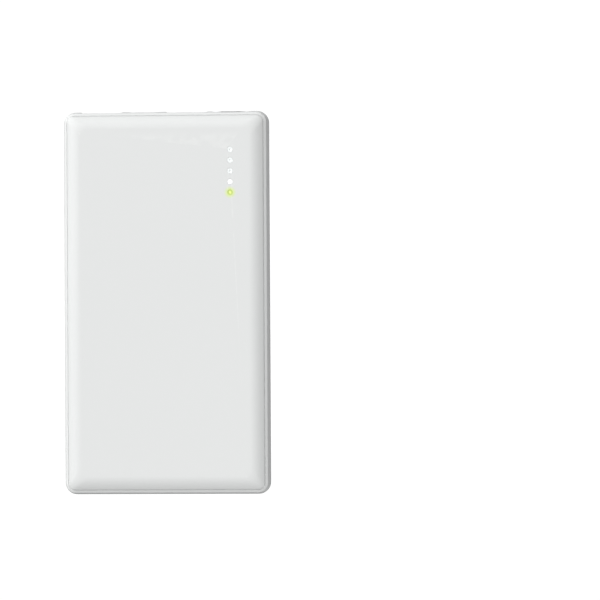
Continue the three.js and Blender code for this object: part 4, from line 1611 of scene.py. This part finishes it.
@dataclass
class ChargingBoard(Assembly):
    """The board, the parts that stand on it and the screws that hold it."""

    hole_radius: float = 1.0
    can_radius: float = 3.05

    def board(self) -> Body:
        """The bare board with its screw holes."""
        seat = Seat.of("main_board")
        body = Body().block(seat.size, seat.foot, 1.0, 0.06)
        holes = Body()
        for node in numbered("board_screw", SCREW_COUNT):
            screw = Seat.of(node).centre
            holes.turned([(self.hole_radius, 1.0), (self.hole_radius, 5.0)], (screw.x, screw.y))
        return body.combined(holes, Combining.CUT)

    def screw(self, seat: Seat) -> Body:
        """A pan-head screw with a cross recess and its thread."""
        x, y, top = seat.centre.x, seat.centre.y, seat.high.z
        profile = [(0.4, seat.low.z), (0.6, seat.low.z + 0.3)]
        pitch, crest, root, head = 0.36, 0.75, 0.6, 1.5
        recess_length, recess_width, recess_depth = 1.7, 0.34, 0.5
        z = seat.low.z + 0.45
        while z < top - 1.3:
            profile += [(root, z), (crest, z + pitch / 2)]
            z += pitch
        profile += [(root, top - 1.0), (crest, top - 0.85), (head - 0.12, top - 0.85),
                    (head, top - 0.75), (head, top - 0.5), (head - 0.12, top - 0.22),
                    (head * 0.7, top - 0.05), (head * 0.4, top)]
        body = Body().turned(profile, (x, y), 32)
        for size in ((recess_length, recess_width, 1.0), (recess_width, recess_length, 1.0)):
            slot = Body().block(size, (x, y, top - recess_depth), 0.05, 0.02)
            body.combined(slot, Combining.CUT)
        return body

    def can(self, seat: Seat) -> Body:
        """A can capacitor on its square base."""
        x, y, foot = seat.foot
        radius, top = self.can_radius, seat.high.z
        profile = [(radius - 0.1, foot + 0.85), (radius, foot + 0.95), (radius, foot + 1.4)]
        bead_low, bead_height, bead_depth, steps = 1.5, 0.6, 0.25, 8
        for step in range(steps + 1):
            turn = math.pi * step / steps
            rise = foot + bead_low + bead_height * step / steps
            profile.append((radius - bead_depth * math.sin(turn), rise))
        profile += [(radius - inset, top - drop) for inset, drop in reversed(rounding(0.35))]
        profile += [(radius - 0.6, top - 0.02), (radius - 0.75, top - 0.08), (0.3, top - 0.08)]
        body = Body().turned(profile, (x, y), 48)
        body.block((6.5, 6.5, 0.9), (x, y, foot), 0.9, 0.1, look=1)
        return body

    def inductor(self) -> Body:
        """A shielded choke: a square ferrite block round a round core."""
        seat = Seat.of("power_inductor")
        x, y, foot = seat.foot
        width, height, moat_radius, core = 7.0, 3.5, 3.25, 2.8
        body = Body().block((width, width, height), (x, y, foot), 1.4, 0.25)
        moat = Body().turned([(moat_radius, foot + 2.6), (moat_radius, foot + 5)], (x, y), 48)
        body.combined(moat, Combining.CUT)
        profile = [(core, foot + 2.5), (core + 0.1, foot + 3.7), (core, foot + 3.95),
                   (core - 0.2, seat.high.z)]
        return body.combined(Body().turned(profile, (x, y), 48), Combining.JOIN)

    def joints(self) -> Body:
        """Solder under the ends of the parts, with a fillet on each side."""
        body = Body()
        small = numbered("chip_capacitor", 4)
        large = ["power_inductor", *numbered("can_capacitor", 2)]
        joints = [(name, 0.45, 1.1) for name in small] + [(name, 0.6, 2.2) for name in large]
        for name, reach, width in joints:
            seat = Seat.of(name)
            outline = [(0.0, 0.0), (reach, 0.0), (reach, 0.03), (reach * 0.35, 0.18),
                       (0.04, 0.5), (0.0, 0.5)]
            for side, turn in ((-1, math.pi), (1, 0.0)):
                across = seat.centre.x + side * (seat.size.x / 2 + 0.01)
                spot = (across, seat.centre.y, seat.low.z - 0.09)
                body.prism(outline, width, moved(spot, turn))
        return body

    def small_parts(self) -> Body:
        """Small chip resistors in rows, with plated ends."""
        foot = Seat.of("main_board").high.z + 0.01
        body = Body()
        places = [(-7.6, 48.6), (-7.6, 50.4), (-7.6, 52.2), (-1.2, 48.6), (-1.2, 50.4),
                  (-4.9, 46.6), (-2.6, 46.6), (-10.5, 40.6), (-8.6, 40.6), (3.0, 49.0),
                  (12.0, 39.2), (26.6, 45.0), (26.6, 46.8), (26.6, 48.6)]
        for x, y in places:
            RESISTOR.put(body, x, y, foot)
        return body

    def build(self) -> None:
        """Builds and dresses the board and everything on it."""
        self.add(self.board(), "charging_board", [BOARD_GREEN], ["main_board"],
                 "circuit_board")
        self.keep("insulation_sheet", INSULATING_PAPER, 0.03)
        for name in ("controller_chip", "charger_chip", "power_transistor_1",
                     "power_transistor_2"):
            self.keep(name, CHIP_BLACK, 0.05)
        self.add(self.inductor(), "choke", [FERRITE], ["power_inductor"], "ferrite")
        for number, node in enumerate(numbered("can_capacitor", 2), start=1):
            self.add(self.can(Seat.of(node)), f"reservoir_can_{number}",
                     [CAN_METAL, BLACK_PLASTIC], [node], "can_metal")
        for number in range(1, SCREW_COUNT + 1):
            node = f"chip_capacitor_{number}"
            self.add(CERAMIC_CHIP.put(Body(), *Seat.of(node).foot), f"ceramic_chip_{number}",
                     [CERAMIC, SOLDER], [node], "capacitor_ceramic")
            node = f"board_screw_{number}"
            self.add(self.screw(Seat.of(node)), f"pan_head_screw_{number}", [SCREW_STEEL],
                     [node], "screw_steel")
        self.add(self.joints(), "solder_joints", [SOLDER])
        self.add(self.small_parts(), "chip_resistors", [CHIP_BLACK, SOLDER])


@dataclass
class BatteryPack(Assembly):
    """Two pouch cells with their tape, tabs, guard board and leads."""

    fold: float = 1.4
    corner: float = 2.5
    swell: float = 0.08
    lead_radius: float = 0.6
    lead_start: float = 32.5
    lead_end: float = 38.4
    bared: float = 0.07
    terrace: float = 3.5
    terrace_width: float = 58.0
    terrace_thickness: float = 0.6

    def cell(self, node: str, flat_down: bool) -> Body:
        """One pouch cell.

        Args:
            node: The cell's node in the frame.
            flat_down: Whether its flat side is underneath.

        Returns:
            The cell's body, with its sealed terrace.
        """
        seat = Seat.of(node)
        half_width, half_length = seat.size.x / 2, (seat.size.y - self.terrace) / 2
        middle = Vector((seat.centre.x, seat.low.y + half_length, 0))
        thick = seat.size.z
        levels = [(0.3, 0.0), (0.0, 0.3), (0.0, thick - self.fold)]
        for step in range(1, 9):
            turn = QUARTER * step / 8
            levels.append((self.fold * (1 - math.cos(turn)),
                           thick - self.fold + self.fold * math.sin(turn) - self.swell))
        levels += [(self.fold + 1.5 * step**1.6, thick - self.swell) for step in range(1, 7)]
        rings = []
        for inset, rise in levels:
            shape = Section(half_width - inset, half_length - inset,
                            max(self.corner - inset / 2, 0.6), 0)
            ring = []
            for across, along in rounded_outline(shape, 6):
                spot = middle + Vector((across, along, 0))
                ripple = noise.noise(spot / 9) * self.swell if rise > 0.3 else 0.0
                lift = rise + min(ripple, self.swell if inset > 0.5 else 0.0)
                z = seat.low.z + lift if flat_down else seat.high.z - lift
                ring.append(Vector((spot.x, spot.y, z)))
            rings.append(ring)
        body = Body().loft_through(rings)
        edge = seat.low.z if flat_down else seat.high.z - self.terrace_thickness
        length = self.terrace + 1
        ledge = Body().block((self.terrace_width, length, self.terrace_thickness),
                             (seat.centre.x, seat.high.y - length / 2, edge), 0.6, 0.15)
        return body.combined(ledge, Combining.JOIN)

    def lead(self, node: str) -> Body:
        """One lead, which arches over the fence."""
        seat = Seat.of(node)
        radius = self.lead_radius
        board, guard = Seat.of("main_board").high.z, Seat.of("cell_board").high.z
        start = Vector((seat.centre.x, self.lead_start, guard + 0.4))
        end = Vector((seat.centre.x, self.lead_end, board + 0.4))
        first, second = start + Vector((0, 0, 2.4)), end + Vector((0, 0, 7.5))
        path, radii = [], []
        steps = 28
        for step in range(steps + 1):
            share = step / steps
            rest = 1 - share
            path.append(start * rest**3 + first * (3 * rest**2 * share)
                        + second * (3 * rest * share**2) + end * share**3)
            covered = self.bared < share < 1 - self.bared
            radii.append(radius if covered else radius * 0.62)
        body = Body().swept(path, radii, 20)
        for place in (start, end):
            profile = [(0.95, place.z - 0.38), (0.9, place.z - 0.2), (0.6, place.z + 0.25),
                       (0.3, place.z + 0.4)]
            body.turned(profile, (place.x, place.y), 20, look=1)
        return body

    def build(self) -> None:
        """Builds and dresses the pack."""
        for side, flat_down in (("upper", True), ("lower", False)):
            node = f"battery_cell_{side}"
            self.add(self.cell(node, flat_down), f"pouch_{side}", [POUCH_FOIL], [node],
                     "pouch_foil")
        for node, finish, edge in (
            ("cell_tape", PALE_TAPE, 0.03),
            ("cell_adhesive", PALE_TAPE, 0.03),
            ("foam_pad", GREY_FOAM, 0.08),
            ("cell_board", BOARD_GREEN, 0.05),
            ("cell_board_chip", CHIP_BLACK, 0.04),
            ("tab_positive", NICKEL, 0.06),
            ("tab_negative", NICKEL, 0.06),
        ):
            self.keep(node, finish, edge)
        for name, node, finish in (
            ("red_lead", "lead_positive", RED_INSULATION),
            ("black_lead", "lead_negative", BLACK_INSULATION),
        ):
            self.add(self.lead(node), name, [finish, SOLDER], [node], name)


# ------------------------------------------------------------------ studio


@dataclass(frozen=True)
class Softbox:
    """A square soft light that faces the object."""

    name: str
    place: Triple
    size: float
    power: float
    mirrored: bool = True

    def hang(self) -> None:
        """Puts the light in the scene."""
        lamp = bpy.data.lights.new(self.name, "AREA")
        lamp.size = self.size
        lamp.energy = self.power
        light = bpy.data.objects.new(self.name, lamp)
        light.location = self.place
        light.rotation_mode = "QUATERNION"
        light.rotation_quaternion = (-Vector(self.place)).to_track_quat("-Z", "Y")
        light.visible_camera = False
        light.visible_glossy = self.mirrored
        bpy.context.scene.collection.objects.link(light)


@dataclass
class Studio:
    """The floor, the lights and the camera. Sizes are in metres."""

    floor_size: float = 8.0
    floor_drop: float = 0.0002
    floor_colour: Colour = (0.2, 0.2, 0.2)
    floor_evenness: float = 0.85
    floor_brightness: float = 1.18
    glow: float = 0.45
    glow_edge: Point = (0.042, 0.072)
    glow_fade: float = 0.012
    fill: float = 0.06
    mirrored: float = 0.6
    backdrop: float = 1.0
    lens: float = 180.0
    tilt: Triple = (-0.592, -3.314, 0.365)
    offset: Triple = (-44.79, -1.0, -1026.73)
    softboxes: tuple[Softbox, ...] = (
        Softbox("left_light", (-1.45, 0.2, 0.55), 1.1, 20.8, mirrored=False),
        Softbox("back_light", (-0.2, 1.45, 0.45), 1.1, 19.0, mirrored=False),
        Softbox("top_light", (0.0, 0.0, 1.6), 1.1, 2.3),
        Softbox("front_light", (0.68, -0.68, 1.25), 1.1, 16.4),
    )

    def floor(self) -> None:
        """Lays a plain pale floor, lit under the object and clear when seen from below."""
        half = self.floor_size / 2
        mesh = bpy.data.meshes.new("studio_floor")
        corners = [(-half, -half), (half, -half), (half, half), (-half, half)]
        mesh.from_pydata([(x, y, -self.floor_drop) for x, y in corners], [], [(0, 1, 2, 3)])
        floor = bpy.data.objects.new("studio_floor", mesh)
        bpy.context.scene.collection.objects.link(floor)
        mesh.materials.append(self.floor_material())

    def floor_material(self) -> bpy.types.Material:
        """The floor's material, which glows under the object.

        Returns:
            The material.
        """
        material = bpy.data.materials.new("studio_floor")
        material.use_nodes = True
        graph = Graph(material.node_tree)
        shader = material.node_tree.nodes["Principled BSDF"]
        mottle = tone_drift.on(graph, Colour=paint(self.floor_colour), Size=60.0, Amount=0.01)
        graph.tree.links.new(mottle, shader.inputs["Base Color"])
        shader.inputs["Roughness"].default_value = 0.9
        shader.inputs["Specular IOR Level"].default_value = 0.1
        spot = graph.add("SeparateXYZ", {0: graph.add("TexCoord").outputs["Object"]})
        inside = [
            graph.eased(graph.sum("ABSOLUTE", spot.outputs[way]), edge, edge - self.glow_fade)
            for way, edge in zip("XY", self.glow_edge)
        ]
        strength = graph.sum("MULTIPLY", graph.sum("MULTIPLY", *inside), self.glow)
        glow = graph.add("Emission", {"Strength": strength})
        under = graph.add("AddShader", {0: shader.outputs[0], 1: glow.outputs[0]})
        seen = graph.add("LightPath").outputs["Is Camera Ray"]
        even = graph.sum("MULTIPLY", seen, self.floor_evenness)
        pale = graph.add("Emission", {"Strength": self.floor_brightness})
        lit = graph.add("MixShader", {0: even, 1: under.outputs[0], 2: pale.outputs[0]})
        below = graph.add("NewGeometry").outputs["Backfacing"]
        clear = graph.add("BsdfTransparent").outputs[0]
        shown = graph.add("MixShader", {0: below, 1: lit.outputs[0], 2: clear})
        output = material.node_tree.nodes["Material Output"]
        graph.tree.links.new(shown.outputs[0], output.inputs["Surface"])
        material.cycles.emission_sampling = "NONE"
        return material

    def surroundings(self) -> None:
        """A dim even room that is paler in reflections and as a backdrop."""
        world = bpy.data.worlds.new("room")
        world.use_nodes = True
        bpy.context.scene.world = world
        graph = Graph(world.node_tree)
        path = graph.add("LightPath").outputs
        strength: Any = self.fill
        for kind, level in (("Is Glossy Ray", self.mirrored), ("Is Camera Ray", self.backdrop)):
            strength = graph.add(
                "Mix", {0: path[kind], 2: strength, 3: level}, data_type="FLOAT").outputs[0]
        sky = world.node_tree.nodes["Background"]
        sky.inputs["Color"].default_value = paint((1.0, 1.0, 1.0))
        graph.tree.links.new(strength, sky.inputs["Strength"])

    def camera(self) -> None:
        """The camera, high above the object and a little to its right."""
        lens = bpy.data.cameras.new("camera")
        lens.lens = self.lens
        lens.clip_end = 50.0
        camera = bpy.data.objects.new("camera", lens)
        bpy.context.scene.collection.objects.link(camera)
        turn = Matrix.Identity(3)
        for angle, axis in zip(self.tilt, "XYZ"):
            turn = Matrix.Rotation(math.radians(angle), 3, axis) @ turn
        back = turn.transposed()
        camera.matrix_world = Matrix.Translation(back @ -Vector(self.offset) * MM) @ back.to_4x4()
        bpy.context.scene.camera = camera

    def build(self) -> None:
        """Sets up the studio."""
        self.floor()
        self.surroundings()
        self.camera()
        for softbox in self.softboxes:
            softbox.hang()
        bpy.context.scene.view_settings.view_transform = "Standard"


def main() -> None:
    """Builds the power bank round its frame, then the studio."""
    logging.basicConfig(level=logging.INFO, format="%(message)s")
    assemblies: Sequence[Assembly] = (
        Shells(), StatusLights(), SocketRow(), PushButton(), ChargingBoard(), BatteryPack())
    for assembly in assemblies:
        assembly.build()
        LOG.info("%s: %d pieces", type(assembly).__name__, len(assembly.pieces))
    Studio().build()


if __name__ == "__main__":
    main()
